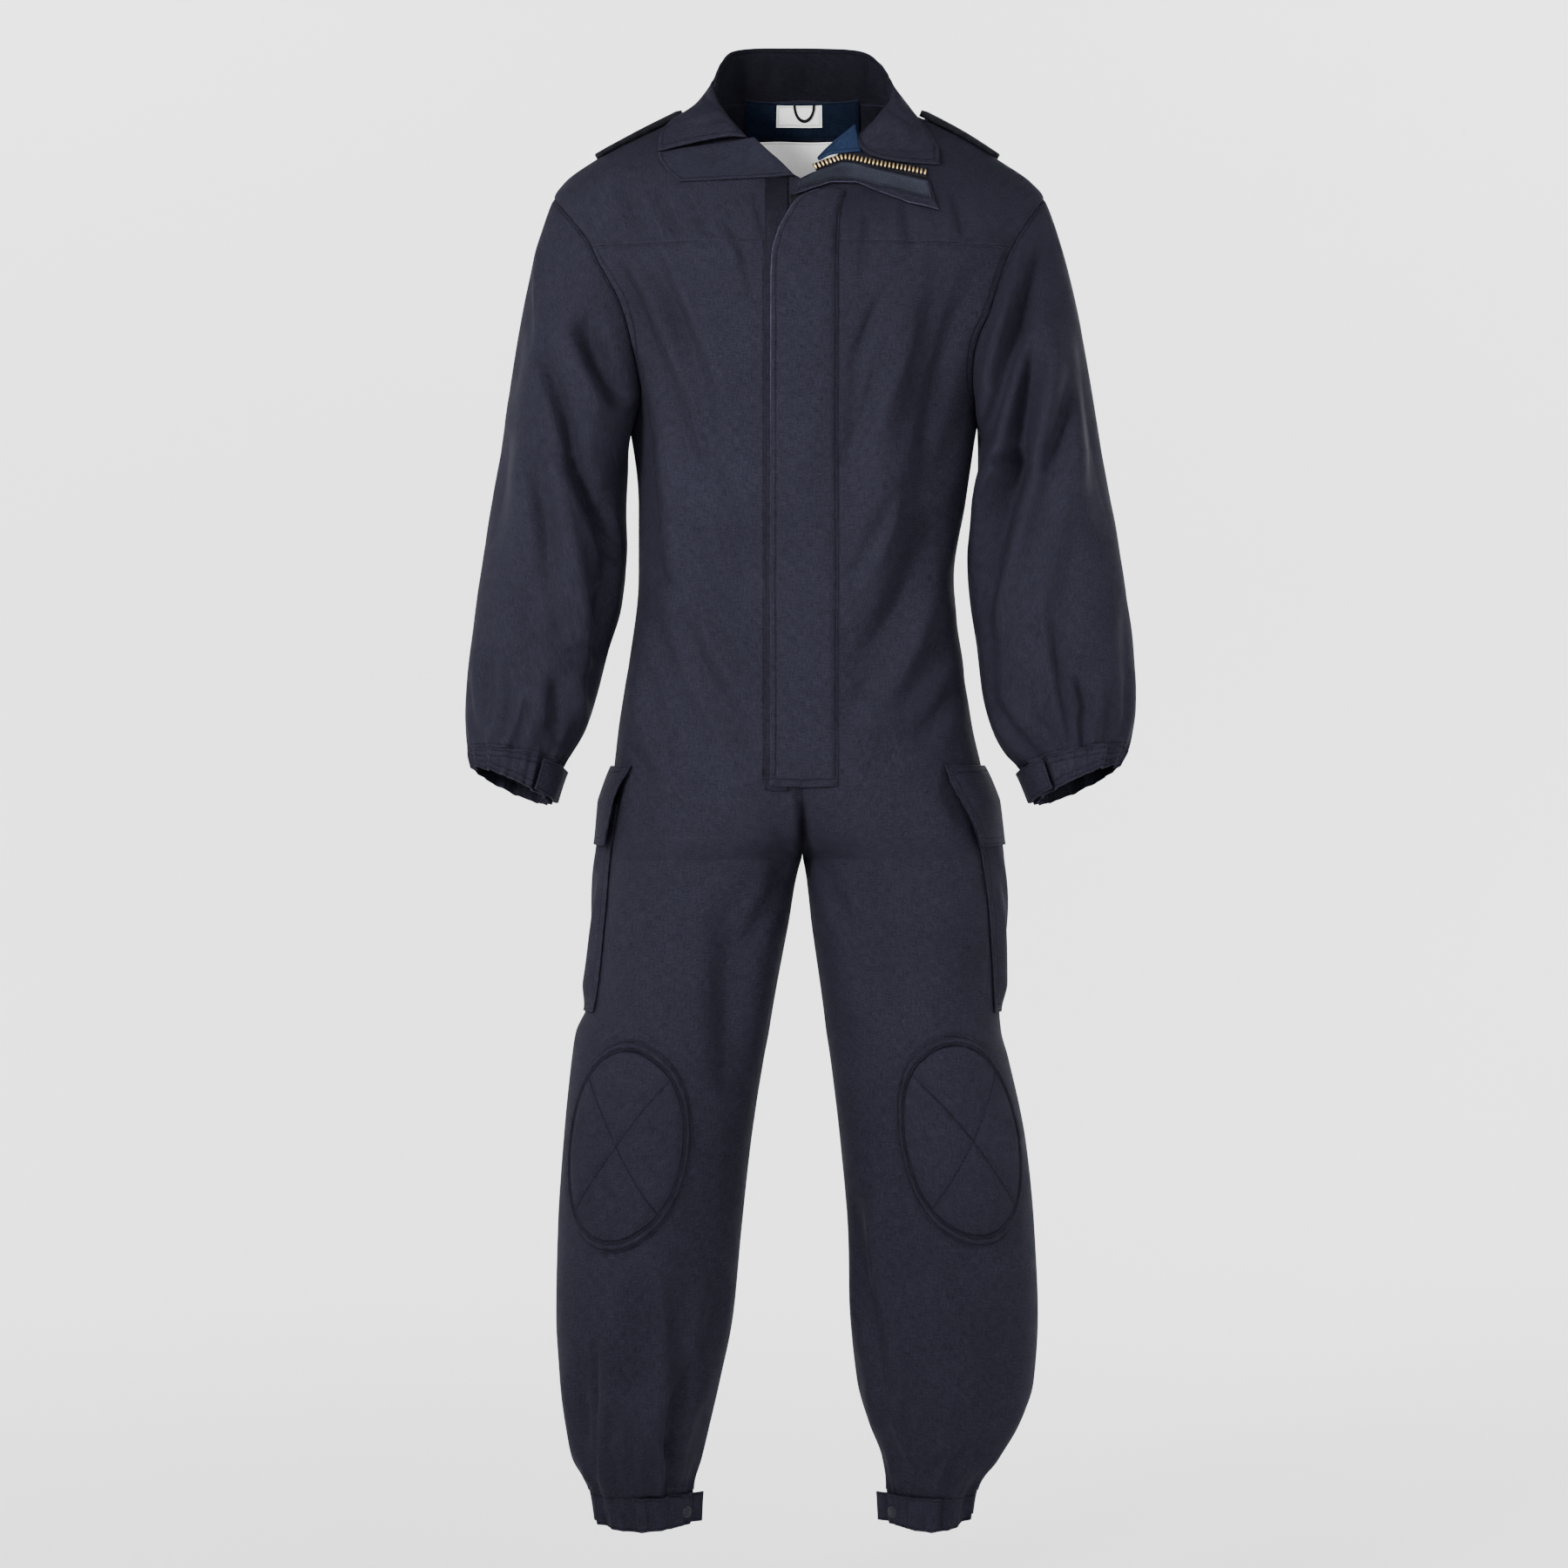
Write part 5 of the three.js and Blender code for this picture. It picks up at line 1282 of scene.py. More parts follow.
class SUIT_OT_sleeves(bpy.types.Operator):
    """Hangs the sleeves: rings from the armholes down to the cuff seams, as walls"""

    bl_idname = "suit.sleeves"
    bl_label = "Sleeves"

    def execute(self, context):
        down = spread(0, 1, steps(120), near=(0.003, 0.01))[:, None]
        turn = np.linspace(0, 360, steps(136), endpoint=False)[None, :]
        for side in SIDES:
            outer, normal = sleeve_grid(side, turn, down)
            marks = edge_marks(outer, (3.0, 99), ring=True)
            dip = 0.4 * np.exp(-((marks[..., 2] / 1.6) ** 2))
            made = wall(
                "sleeve_" + side + "_cloth", outer - normal * dip[..., None],
                outer - normal * CLOTH, ring=True, marks=marks,
            )
            finish_piece(made, ["sleeve_" + side], material("navy"))
        return {"FINISHED"}


def cuff_surface(side, turn, share, lift):
    """The sleeve's last section pair, gathered: the radius moved by the gathers' full height."""
    at = sleeves[side]
    station = SLEEVE_END + 0.02 + 0.98 * share
    turn, station = np.broadcast_arrays(np.asarray(turn, float), np.asarray(station, float))
    point = sleeve_tube(side, turn, station)
    centre = stack(SIDES[side] * at["x"](station), at["y"](station), at["z"](station))
    grow = 0.8 + 0.35 * share
    ruffle = 0.8 * np.sin(np.radians(23 * turn + 60)) * share**3
    move = gathers(turn, 0 * turn) * grow + ruffle + lift
    return point + unit(point - centre) * np.broadcast_to(move, turn.shape)[..., None]


def tab_rise(share):
    """7 ((t - 0.6) / 0.4)^2 over the tab's free end."""
    return 7 * np.clip((share - 0.6) / 0.4, 0, 1) ** 2


class SUIT_OT_cuffs(bpy.types.Operator):
    """Gathers the elastic cuffs and lays their fastening tabs on them"""

    bl_idname = "suit.cuffs"
    bl_label = "Cuffs"

    def execute(self, context):
        for side in SIDES:
            share = spread(0, 1, steps(22), near=(0.02, 0.05))[:, None]
            turn = np.linspace(0, 360, steps(220), endpoint=False)[None, :]
            outer = cuff_surface(side, turn, share, 0.0)
            inner = cuff_surface(side, turn, share, -DOUBLE)
            marks = edge_marks(outer, (2.5, 8.0), ring=True)
            made = wall("cuff_" + side + "_cloth", outer, inner, True, marks)
            finish_piece(made, ["cuff_" + side], material("navy"))
            across = spread(0, 1, steps(40), near=(0.01, 0.03))[None, :]
            height = spread(0, 1, steps(14), near=(0.02, 0.06))[:, None]
            turn = lerp(128.0, 205.0, across)
            down = lerp(0.12, 0.96, height)
            s = SIDES[side]
            out = unit(stack(s * np.cos(np.radians(turn)), -np.sin(np.radians(turn)), 0))
            station = SLEEVE_END + 0.02 + 0.98 * down
            turn, station = np.broadcast_arrays(turn, station)
            off = (CUFF_WAVE * 2.1 + tab_rise(across))[..., None]
            base = sleeve_tube(side, turn, station) + out * off
            curl = 0.5 * np.sin(across * 9 + down * 4)[..., None]
            outer = base + out * (DOUBLE + curl)
            marks = edge_marks(outer, (2.0, 99))
            made = wall("cuff_tab_" + side + "_cloth", outer, base + out * curl, False, marks)
            finish_piece(made, ["cuff_tab_" + side], material("navy"))
        return {"FINISHED"}


def hem_rise(side, angle):
    """r sin^2 a, with r for the outer or the inner side."""
    across = np.sin(np.radians(angle))
    outer, inner = HEM_RISE[side]
    return np.where(across > 0, outer, inner) * across**2


def stud_mesh(name, point, normal, radius=6.0):
    """A press stud turned about its axis: the profile r(h) of a domed cap with a ring groove."""
    profile = np.array([
        [0.0, 2.3], [1.6, 2.25], [2.7, 1.95], [3.3, 1.6], [3.9, 1.72], [4.7, 1.85], [5.4, 1.5],
        [5.85, 1.0], [6.0, 0.55], [5.9, 0.15], [5.2, 0.0], [3.0, 0.0],
    ]) * [radius / 6, 1]
    turn = np.radians(np.linspace(0, 360, 40, endpoint=False))
    normal = unit(np.asarray(normal, float))
    side = unit(np.cross(normal, [0.0, 0.0, 1.0]))
    up = np.cross(side, normal)
    ring = side * np.cos(turn)[:, None] + up * np.sin(turn)[:, None]
    rows = profile[1:, 0][:, None, None] * ring + profile[1:, 1][:, None, None] * normal
    points = np.concatenate([rows.reshape(-1, 3), [normal * profile[0, 1]], [normal * 0.0]])
    count = len(turn)
    k = np.arange(count)
    after = (k + 1) % count
    rows_count = len(profile) - 1
    quads = np.concatenate([
        np.stack([k, after, after + count, k + count], -1) + count * j
        for j in range(rows_count - 1)
    ])
    last = count * (rows_count - 1)
    top = np.stack([np.full(count, count * rows_count), after, k], -1)
    foot = np.stack([np.full(count, count * rows_count + 1), k + last, after + last], -1)
    return add_mesh(name, points + np.asarray(point), [quads, np.concatenate([top, foot])])


class SUIT_OT_ankles(bpy.types.Operator):
    """Gathers the ankle bands and puts on their tabs and press studs"""

    bl_idname = "suit.ankles"
    bl_label = "Ankles"

    def execute(self, context):
        for side in SIDES:
            share = spread(0, 1, steps(22), near=(0.02, 0.05))[:, None]
            turn = np.linspace(0, 360, steps(200), endpoint=False)[None, :]
            z = lerp(FRONT_FOOT - SEAM / 2, BAND_FOOT + hem_rise(side, turn), share)
            turn, z = np.broadcast_arrays(turn, z)
            wave = 0.5 * np.cos(np.radians(10 * turn)) * (0.5 + 0.5 * share) - ANKLE_IN
            outer = on_body(side, turn, z, wave)
            inner = on_body(side, turn, z, wave - DOUBLE)
            marks = edge_marks(outer, (2.5, 99), ring=True)
            made = wall("ankle_band_" + side + "_cloth", outer, inner, True, marks)
            finish_piece(made, ["ankle_band_" + side], material("navy"))
            across = spread(0, 1, steps(60), near=(0.006, 0.02))[None, :]
            height = spread(0, 1, steps(16), near=(0.02, 0.06))[:, None]
            angle = lerp(5.0, -88.0, across)
            z = lerp(FRONT_FOOT - 1.0, BAND_FOOT + 2 + hem_rise(side, angle), height)
            lift = ANKLE_WAVE - ANKLE_IN + 0.9 + tab_rise(across) + 0 * z
            angle = np.broadcast_to(angle, z.shape)
            outer = on_body(side, angle, z, lift + DOUBLE)
            marks = edge_marks(outer, (2.0, 99))
            made = wall(
                "ankle_tab_" + side + "_cloth", outer, on_body(side, angle, z, lift), marks=marks
            )
            finish_piece(made, ["ankle_tab_" + side], material("navy"))
            middle = (FRONT_FOOT + BAND_FOOT) / 2
            share = (-60.0 - 5.0) / (-88.0 - 5.0)
            rise = ANKLE_WAVE - ANKLE_IN + 0.9 + tab_rise(share) + DOUBLE - 0.1
            point = on_body(side, np.array([-60.0]), np.array([middle]), rise)[0]
            normal = body_normal(side, np.array([-60.0]), np.array([middle]))[0]
            made = stud_mesh("ankle_stud_" + side + "_cap", point, normal)
            finish_piece(made, ["ankle_stud_" + side], material("stud"))
        return {"FINISHED"}


PAD_WIDE, PAD_TALL, PAD_RISE, PAD_BORDER = 72, 110, 2.6, 8
PAD_PLACE = {"right": (22, -1053), "left": (21, -1047)}
PAD_CREASES = [
    [-60, 20, -26, 14, 3.0, -0.9, 2],
    [-62, 4, -20, 0, 3.0, -0.8, -2],
    [-60, -14, -28, -12, 2.6, -0.8, 1],
    [58, 24, 22, 18, 3.0, -0.9, -2],
    [60, 6, 24, 4, 2.6, -0.8, 1],
    [58, -12, 22, -16, 3.0, -0.9, 2],
    [52, -34, 26, -32, 2.6, -0.7, -1],
    [-50, -36, -24, -34, 2.6, -0.7, 1],
    [-10, 34, 14, 48, 4.0, -0.8, 2],
    [-16, -44, 12, -56, 4.0, -0.9, -2],
    [0, -20, 10, -80, 5.0, 0.8, 2],
]


def on_pad(side, p, q):
    """Angle and height of a point of the unit disc laid on the leg as an oval."""
    angle, z = PAD_PLACE[side]
    height = z + PAD_TALL * q
    return angle + np.degrees(PAD_WIDE * p / half_section(side, height)[1]), height


class SUIT_OT_knees(bpy.types.Operator):
    """Quilts the oval knee pads: height r (1 - e^-(d/3)^2) over the disc, d from the stitched cross"""

    bl_idname = "suit.knees"
    bl_label = "Knee pads"

    def execute(self, context):
        line = np.linspace(-1, 1, steps(74))
        a, b = np.meshgrid(line, line, indexing="ij")
        p = a * np.sqrt(1 - b**2 / 2)
        q = b * np.sqrt(1 - a**2 / 2)
        share = 1 - PAD_BORDER / PAD_WIDE
        for side in SIDES:
            x, y = p * PAD_WIDE * share, q * PAD_TALL * share
            norm = np.hypot(PAD_WIDE, PAD_TALL)
            first = (x * PAD_TALL - y * PAD_WIDE) / norm
            second = (x * PAD_TALL + y * PAD_WIDE) / norm
            cross = np.minimum(np.abs(first), np.abs(second))
            reach = np.hypot(p, q)
            rise = PAD_RISE * (1 - reach**10) * (0.22 + 0.78 * (1 - np.exp(-((cross / 4) ** 2))))
            rise = rise + creases(x * SIDES[side], y, PAD_CREASES) * (1 - reach**4)
            angle, z = on_pad(side, p * share, q * share)
            outer = on_body(side, angle, z, CLEAR + CLOTH + rise)
            inner = on_body(side, angle, z, CLEAR)
            marks = stack(first, second, 0 * p + 99)
            made = wall("knee_pad_" + side + "_cloth", outer, inner, marks=marks)
            finish_piece(made, ["knee_pad_" + side], material("padding"))
            around = np.linspace(0, 2 * np.pi, steps(200), endpoint=False)[None, :]
            over = np.linspace(-1, 1, 13)[:, None]
            radius = lerp(1 - (PAD_BORDER - SEAM) / PAD_WIDE, 1, (over + 1) / 2)
            angle, z = on_pad(side, radius * np.sin(around), radius * np.cos(around))
            dome = 0.5 + 2.6 * np.sqrt(np.maximum(1 - over**2, 0)) + 0 * z
            pucker = 0.18 * np.sin(around * 61) + 0.14 * np.sin(around * 37 + 1)
            dome = dome + pucker * (1 - over**2)
            outer = on_body(side, angle, z, CLEAR + dome)
            inner = on_body(side, angle, z, CLEAR + 0 * z)
            marks = stack((over - 0.56) * 4 + 0 * z, (over + 0.56) * 4 + 0 * z, 99 + 0 * z)
            made = wall("knee_border_" + side + "_cloth", outer, inner, True, marks)
            finish_piece(made, ["knee_border_" + side], material("navy"))
        return {"FINISHED"}


POCKET = {"right": (66, 62, 158), "left": (52, 64, 156)}
POCKET_RISE = 7
POCKET_OVER = 3


class SUIT_OT_pockets(bpy.types.Operator):
    """Puts the bellows pockets and their flaps on the thighs, lifted off the leg by a smooth bag"""

    bl_idname = "suit.pockets"
    bl_label = "Thigh pockets"

    def execute(self, context):
        for side in SIDES:
            start, start_foot, end = POCKET[side]
            v = spread(0, 1, steps(50), near=(0.006, 0.02))[None, :]
            u = spread(0, 1, steps(56), near=(0.005, 0.015))[:, None]
            angle = lerp(lerp(start, start_foot, u), end, v)
            z = lerp(-700.0, -918.0, u) + 0 * angle
            soft = lambda t: t * t * (3 - 2 * t)
            sides = soft(np.clip(np.minimum(v, 1 - v) / 0.16, 0, 1))
            foot = soft(np.clip((1 - u) / 0.14, 0, 1))
            sag = 1 + 0.12 * np.sin(5 * u + 3 * v)
            rise = POCKET_RISE * sides * foot * sag
            rise = rise + creases(v * 150, u * 218, [
                [10, 60, 60, 190, 7, -1.2, 6], [140, 50, 96, 196, 7, -1.2, -6],
                [60, 200, 96, 204, 5, -0.9, 0], [20, 20, 130, 34, 6, -0.8, 3],
            ]) * sides
            outer = on_body(side, angle, z, CLEAR + CLOTH + rise)
            inner = on_body(side, angle, z, CLEAR + rise)
            marks = edge_marks(outer, (2.0, 8.0), sides="dlr")
            made = wall("pocket_" + side + "_cloth", outer, inner, marks=marks)
            finish_piece(made, ["pocket_" + side], material("navy"))
            u = spread(0, 1, steps(30), near=(0.012, 0.03))[:, None]
            angle = lerp(start - 4.0, end + 4.0, v) + 0 * u
            z = lerp(-660.0, -744.0, u) + 0 * angle
            rise = (POCKET_RISE + POCKET_OVER) * np.clip(u / 0.45, 0, 1) ** 0.8
            rise = rise + 0.5 * np.sin(9 * v + 2) * u
            outer = on_body(side, angle, z, CLEAR + SEAM + DOUBLE + rise)
            inner = on_body(side, angle, z, CLEAR + SEAM + rise)
            marks = edge_marks(outer, (2.0, 8.0))
            made = wall("pocket_flap_" + side + "_cloth", outer, inner, marks=marks)
            finish_piece(made, ["pocket_flap_" + side], material("navy"))
        return {"FINISHED"}


FLAP = table("z free sewn rise", [
    [-681, -33, 36, 2.2],
    [-200, -33, 36, 2.2],
    [-170, -33, 36, 3],
    [-139, -32, 36, 4],
    [-114, -26, 37, 5],
    [-96, -17, 38, 6],
    [-79, -5, 41, 6],
    [-69, 14, 45, 5],
])
FLAP_HEAD = table("top_x top_z foot_x foot_z", [
    [-7, -58, -8, -73],
    [8, -50, 13, -66],
    [28, -42, 33, -60],
    [44, -37, 52, -60],
    [78, -44, 76, -69],
    [104, -50, 106, -79],
    [130, -55, 140, -88],
])
LOOP_STRIP = table("top_x top_z foot_x foot_z", [
    [-4, -60, -4, -66],
    [14, -49, 16, -62],
    [30, -43, 33, -57],
    [46, -39, 51, -57],
    [78, -47, 77, -63],
    [104, -53, 105, -70],
    [128, -58, 132, -76],
])
ZIP_HEAD = table("top_x top_z foot_x foot_z", [
    [10, -39, 14, -46],
    [28, -32, 30, -40],
    [44, -28, 45, -35.5],
    [78, -34, 78, -42.5],
    [104, -37.5, 104, -48],
    [128, -41.5, 128, -53],
])
LAPEL = {
    "right": table("top_x top_z foot_x foot_z roll", [
        [-50, -12, -149, -23, 3],
        [-37, -25, -148, -31, 3],
        [-23, -38, -141, -42, 3],
        [-9, -53, -126, -57, 3],
    ]),
    "left": table("top_x top_z foot_x foot_z roll", [
        [54, 3, 60, -25, 3],
        [38, -11, 44, -26.5, 3],
        [25, -23, 30, -28.5, 3],
        [15, -33, 17, -35, 1],
    ]),
}


def strip_grid(rows, along, across):
    """x and z between a strip's top line and its foot line, smooth through the table's rows."""
    station = np.linspace(0, len(rows["top_x"]) - 1, along)[:, None]
    at = curves({**rows, "station": np.arange(float(len(rows["top_x"])))}, "station")
    share = np.linspace(0, 1, across)[None, :]
    x = lerp(at["top_x"](station), at["foot_x"](station), share)
    z = lerp(at["top_z"](station), at["foot_z"](station), share)
    roll = at["roll"](station) if "roll" in at else 0 * station
    return x, z, share + 0 * x, roll + 0 * x


def flap_lift(z, t):
    """The flap's height over the front and its thickness, by the share of its width from the free
    edge: raised by the rise over its free part and thinned at its seam."""
    over = curve(FLAP["z"], FLAP["rise"])(z) * np.clip((1 - t) / 0.4, 0, 1) ** 0.8
    ease = np.clip((1 - t) / 0.14, 0, 1)
    ease = ease * ease * (3 - 2 * ease)
    return lerp(0.35, CLEAR, ease) + over, lerp(0.8, DOUBLE, ease)


class SUIT_OT_storm_flap(bpy.types.Operator):
    """Lays the storm flap over the zip and turns its head out: strips in (x, z) over the front"""

    bl_idname = "suit.storm_flap"
    bl_label = "Storm flap"

    def execute(self, context):
        flap = curves(FLAP, "z")
        z = spread(FLAP_FOOT, -69.0, steps(230))[:, None]
        t = spread(0, 1, steps(28), near=(0.015, 0.05))[None, :]
        x = lerp(flap["free"](z), flap["sewn"](z), t)
        under, thick = flap_lift(z, t)
        ripple = creases(x, z + 0 * x, [
            [-24, -210, 30, -180, 6, -0.5, 4], [-26, -300, 32, -330, 6, -0.5, -4],
            [-20, -395, 34, -360, 7, -0.6, 4], [-26, -452, 20, -462, 5, -0.5, 2],
            [-28, -520, 32, -500, 7, -0.6, -4], [-18, -570, 30, -596, 5, -0.5, 3],
            [-28, -630, 24, -622, 6, -0.5, 2], [-14, -150, 26, -128, 6, -0.6, 3],
        ])
        height = under + ripple * 0.8
        outer = on_front(x, z + 0 * x, height + thick)
        inner = on_front(x, z + 0 * x, height)
        along = lengths(outer, 1)
        marks = stack(along - 5.5, along[:, -1:] - along - 2.6, np.minimum(along, lengths(outer, 0)))
        foot = lengths(outer, 0) - 7.0
        marks[..., 0] = np.where(np.abs(foot) < np.abs(marks[..., 0]), foot, marks[..., 0])
        # The lighter edges fade out from z -200 down to z -360.
        marks[..., 2] += 1.1 * np.clip((-200 - z) / 160, 0, 1)
        made = wall("storm_flap_cloth", outer, inner, marks=marks)
        finish_piece(made, ["storm_flap"], material("folded"))
        x, z, t, _ = strip_grid(FLAP_HEAD, steps(90), steps(20))
        roll = 1.6 * np.exp(-(((1 - t) / 0.12) ** 2))
        height = CLEAR + roll + 0.5 * np.sin(x / 9) * t
        outer = on_front(x, z, height + DOUBLE)
        marks = edge_marks(outer, (99, 99), sides="r")
        made = wall("storm_flap_head_cloth", outer, on_front(x, z, height), marks=marks)
        finish_piece(made, ["storm_flap_head"], material("folded"))
        x, z, t, _ = strip_grid(LOOP_STRIP, steps(90), steps(16))
        height = CLEAR + DOUBLE + 0.7 + 0.5 * np.sin(x / 9) * t
        outer = on_front(x, z, height + 1.2)
        marks = edge_marks(outer, (1.5, 99))
        made = wall("loop_strip_cloth", outer, on_front(x, z, height), marks=marks)
        finish_piece(made, ["loop_strip"], material("loops"))
        z = np.linspace(-686.0, -51.0, steps(130))[:, None]
        t = np.linspace(0, 1, 12)[None, :]
        x = lerp(-38.6, -15.0, t) + 0 * z
        outer = on_front(x, z + 0 * x, 0.8 + 1.2)
        # Painted shadow: the strip's colour is 0.45 at its top under the lapel, rising to 0.85 below z -120, for the
        # shade of the lapel and flap over it; its groove 0.9 mm in from the left and bottom edges paints a dark line
        # beside the flap's edge.
        marks = edge_marks(outer, (0.9, 99), sides="dl", worn=False)
        shade = np.tile(0.45 + 0.4 * np.clip((-60 - (z + 0 * x).ravel()) / 60, 0, 1), 2)
        made = wall("under_placket_cloth", outer, on_front(x, z + 0 * x, 0.8), False, marks, shade)
        finish_piece(made, ["under_placket"], material("navy"))
        return {"FINISHED"}


class SUIT_OT_zip(bpy.types.Operator):
    """Makes the brass zip: tapes in (x, z) over the front, rows of teeth and the slider"""

    bl_idname = "suit.zip"
    bl_label = "Zip"

    def execute(self, context):
        pitch = context.scene.suit_sizes.tooth_pitch / MM
        x, z, t, _ = strip_grid(ZIP_HEAD, steps(90), 9)
        bend = 0.8 + 0.5 * np.sin(np.pi * t)
        outer = on_front(x, z, bend + 1.3)
        marks = edge_marks(outer, (99, 99))
        made = wall("zip_head_tape", outer, on_front(x, z, bend), marks=marks)
        finish_piece(made, ["zip_head"], material("black"))
        x, z, _, _ = strip_grid(ZIP_HEAD, 160, 3)
        line = on_front(x[:, 1], z[:, 1], 3.2)
        normal = unit(on_front(x[:, 1], z[:, 1], 5.0) - line)
        lines = [(line, normal, 1.0)]
        for side in SIDES:
            s = SIDES[side]
            z = np.linspace(-672.0, -72.0, steps(110))[:, None]
            t = np.linspace(0, 1, 6)[None, :]
            x = s * lerp(SEAM, 13.0, t) + 0 * z
            outer = on_front(x, z + 0 * x, 0.8 + 1.0)
            marks = edge_marks(outer, (2.0, 99), sides="r")
            made = wall("zip_tape_" + side + "_web", outer, on_front(x, z + 0 * x, 0.8), marks=marks)
            finish_piece(made, ["zip_tape_" + side], material("black"))
            height = np.linspace(-670.0, -92.0, 400)
            place = np.full_like(height, s * 1.9)
            line = on_front(place, height, 2.4)
            normal = unit(on_front(place, height, 4.0) - line)
            lines.append((line, normal, 0.0 if s < 0 else pitch / 2))
        made = teeth("zip_teeth", lines[1:], pitch, across=4.4, high=1.6)
        finish_piece(made, [], material("brass"))
        made = teeth("zip_head_teeth", lines[:1], 4.2, wide=2.0, across=6.4, high=3.2)
        finish_piece(made, [], material("brass"))
        # Slider: a wedge, half width w(v) and height h sin^0.6 over the closed loop of each row.
        rows = np.linspace(0, 1, 30)[:, None]
        turn = np.linspace(0, 2 * np.pi, 40, endpoint=False)[None, :]
        half = np.sin(np.pi * np.clip(rows, 0.001, 0.999)) ** 0.35 * lerp(3.2, 5.2, rows)
        x = half * power(np.cos(turn), 0.6)
        z = lerp(-88.0, -76.6, rows) + 0 * x
        thick = 1.1 * np.sin(np.pi * np.clip(rows, 0.001, 0.999)) ** 0.35
        lift = 3.5 + thick * power(np.sin(turn), 0.6)
        lift = lift + 0.35 * np.exp(-((x / 1.2) ** 2)) * (np.sin(turn) > 0)
        surface = on_front(x, z, lift)
        index = np.arange(surface[..., 0].size).reshape(surface.shape[:2])
        wrap = np.concatenate([index, index[:, :1]], 1)
        quads = np.stack([wrap[:-1, :-1], wrap[:-1, 1:], wrap[1:, 1:], wrap[1:, :-1]], -1)
        points = surface.reshape(-1, 3)
        count = len(points)
        ends = np.stack([surface[0].mean(0), surface[-1].mean(0)])
        k = np.arange(40)
        low = np.stack([np.full(40, count), index[0][(k + 1) % 40], index[0][k]], -1)
        top = np.stack([np.full(40, count + 1), index[-1][k], index[-1][(k + 1) % 40]], -1)
        made = add_mesh(
            "zip_slider_body", np.concatenate([points, ends]),
            [quads.reshape(-1, 4), np.concatenate([low, top])],
        )
        finish_piece(made, ["zip_slider"], material("brass"))
        return {"FINISHED"}


class SUIT_OT_lapels(bpy.types.Operator):
    """Turns out the fronts at the neck: strips over the front with a raised roll, r e^-(t/0.15)^2"""

    bl_idname = "suit.lapels"
    bl_label = "Turned-out fronts"

    def execute(self, context):
        for side, key in (("right", "facing"), ("left", "blue")):
            x, z, t, roll = strip_grid(LAPEL[side], steps(36), steps(56))
            height = CLEAR + roll * np.exp(-((t / 0.15) ** 2))
            if side == "right":
                height = height + creases(x, z, [
                    [-120, -28, -70, -24, 5, -0.6, 2], [-96, -52, -60, -34, 4, -0.5, -2],
                    [-136, -48, -118, -30, 4, -0.6, 1],
                ])
            outer = on_front(x, z, height + DOUBLE)
            marks = edge_marks(outer, (4.0, 99), sides="dr")
            made = wall("lapel_" + side + "_cloth", outer, on_front(x, z, height), marks=marks)
            finish_piece(made, ["lapel_" + side], material(key))
        return {"FINISHED"}


COLLAR = table("side angle foot_up roll_x roll_y roll_z edge_x edge_y edge_z", [
    [-1, 15, 3.2, -70, -92, -4, -150, -72, -22],
    [-1, 20, 4, -76, -86, 16, -149, -62, -6],
    [-1, 28, 4, -82, -74, 34, -138, -50, 12],
    [-1, 42, 3, -88, -56, 52, -114, -26, 32],
    [-1, 68, 1, -89, -26, 64, -94, -4, 62],
    [-1, 100, 0.3, -86, 6, 74, -84, 16, 88],
    [-1, 126, 0.3, -74, 38, 80, -72, 42, 103],
    [-1, 154, 0.3, -42, 59, 82, -40, 60, 109],
    [1, 180, 0.3, 0, 64, 84, 0, 66, 110],
    [1, 154, 0.3, 42, 59, 82, 42, 60, 108],
    [1, 126, 0.3, 66, 38, 80, 65, 42, 102],
    [1, 100, 0.3, 84, 6, 74, 83, 16, 84],
    [1, 70, 1, 90, -22, 64, 95, -4, 58],
    [1, 46, 3, 92, -50, 52, 114, -28, 28],
    [1, 32, 4, 86, -70, 34, 130, -52, 2],
    [1, 25, 4, 76, -84, 8, 141, -64, -20],
    [1, 19, 3.2, 35, -92, -38, 141, -74, -38],
])


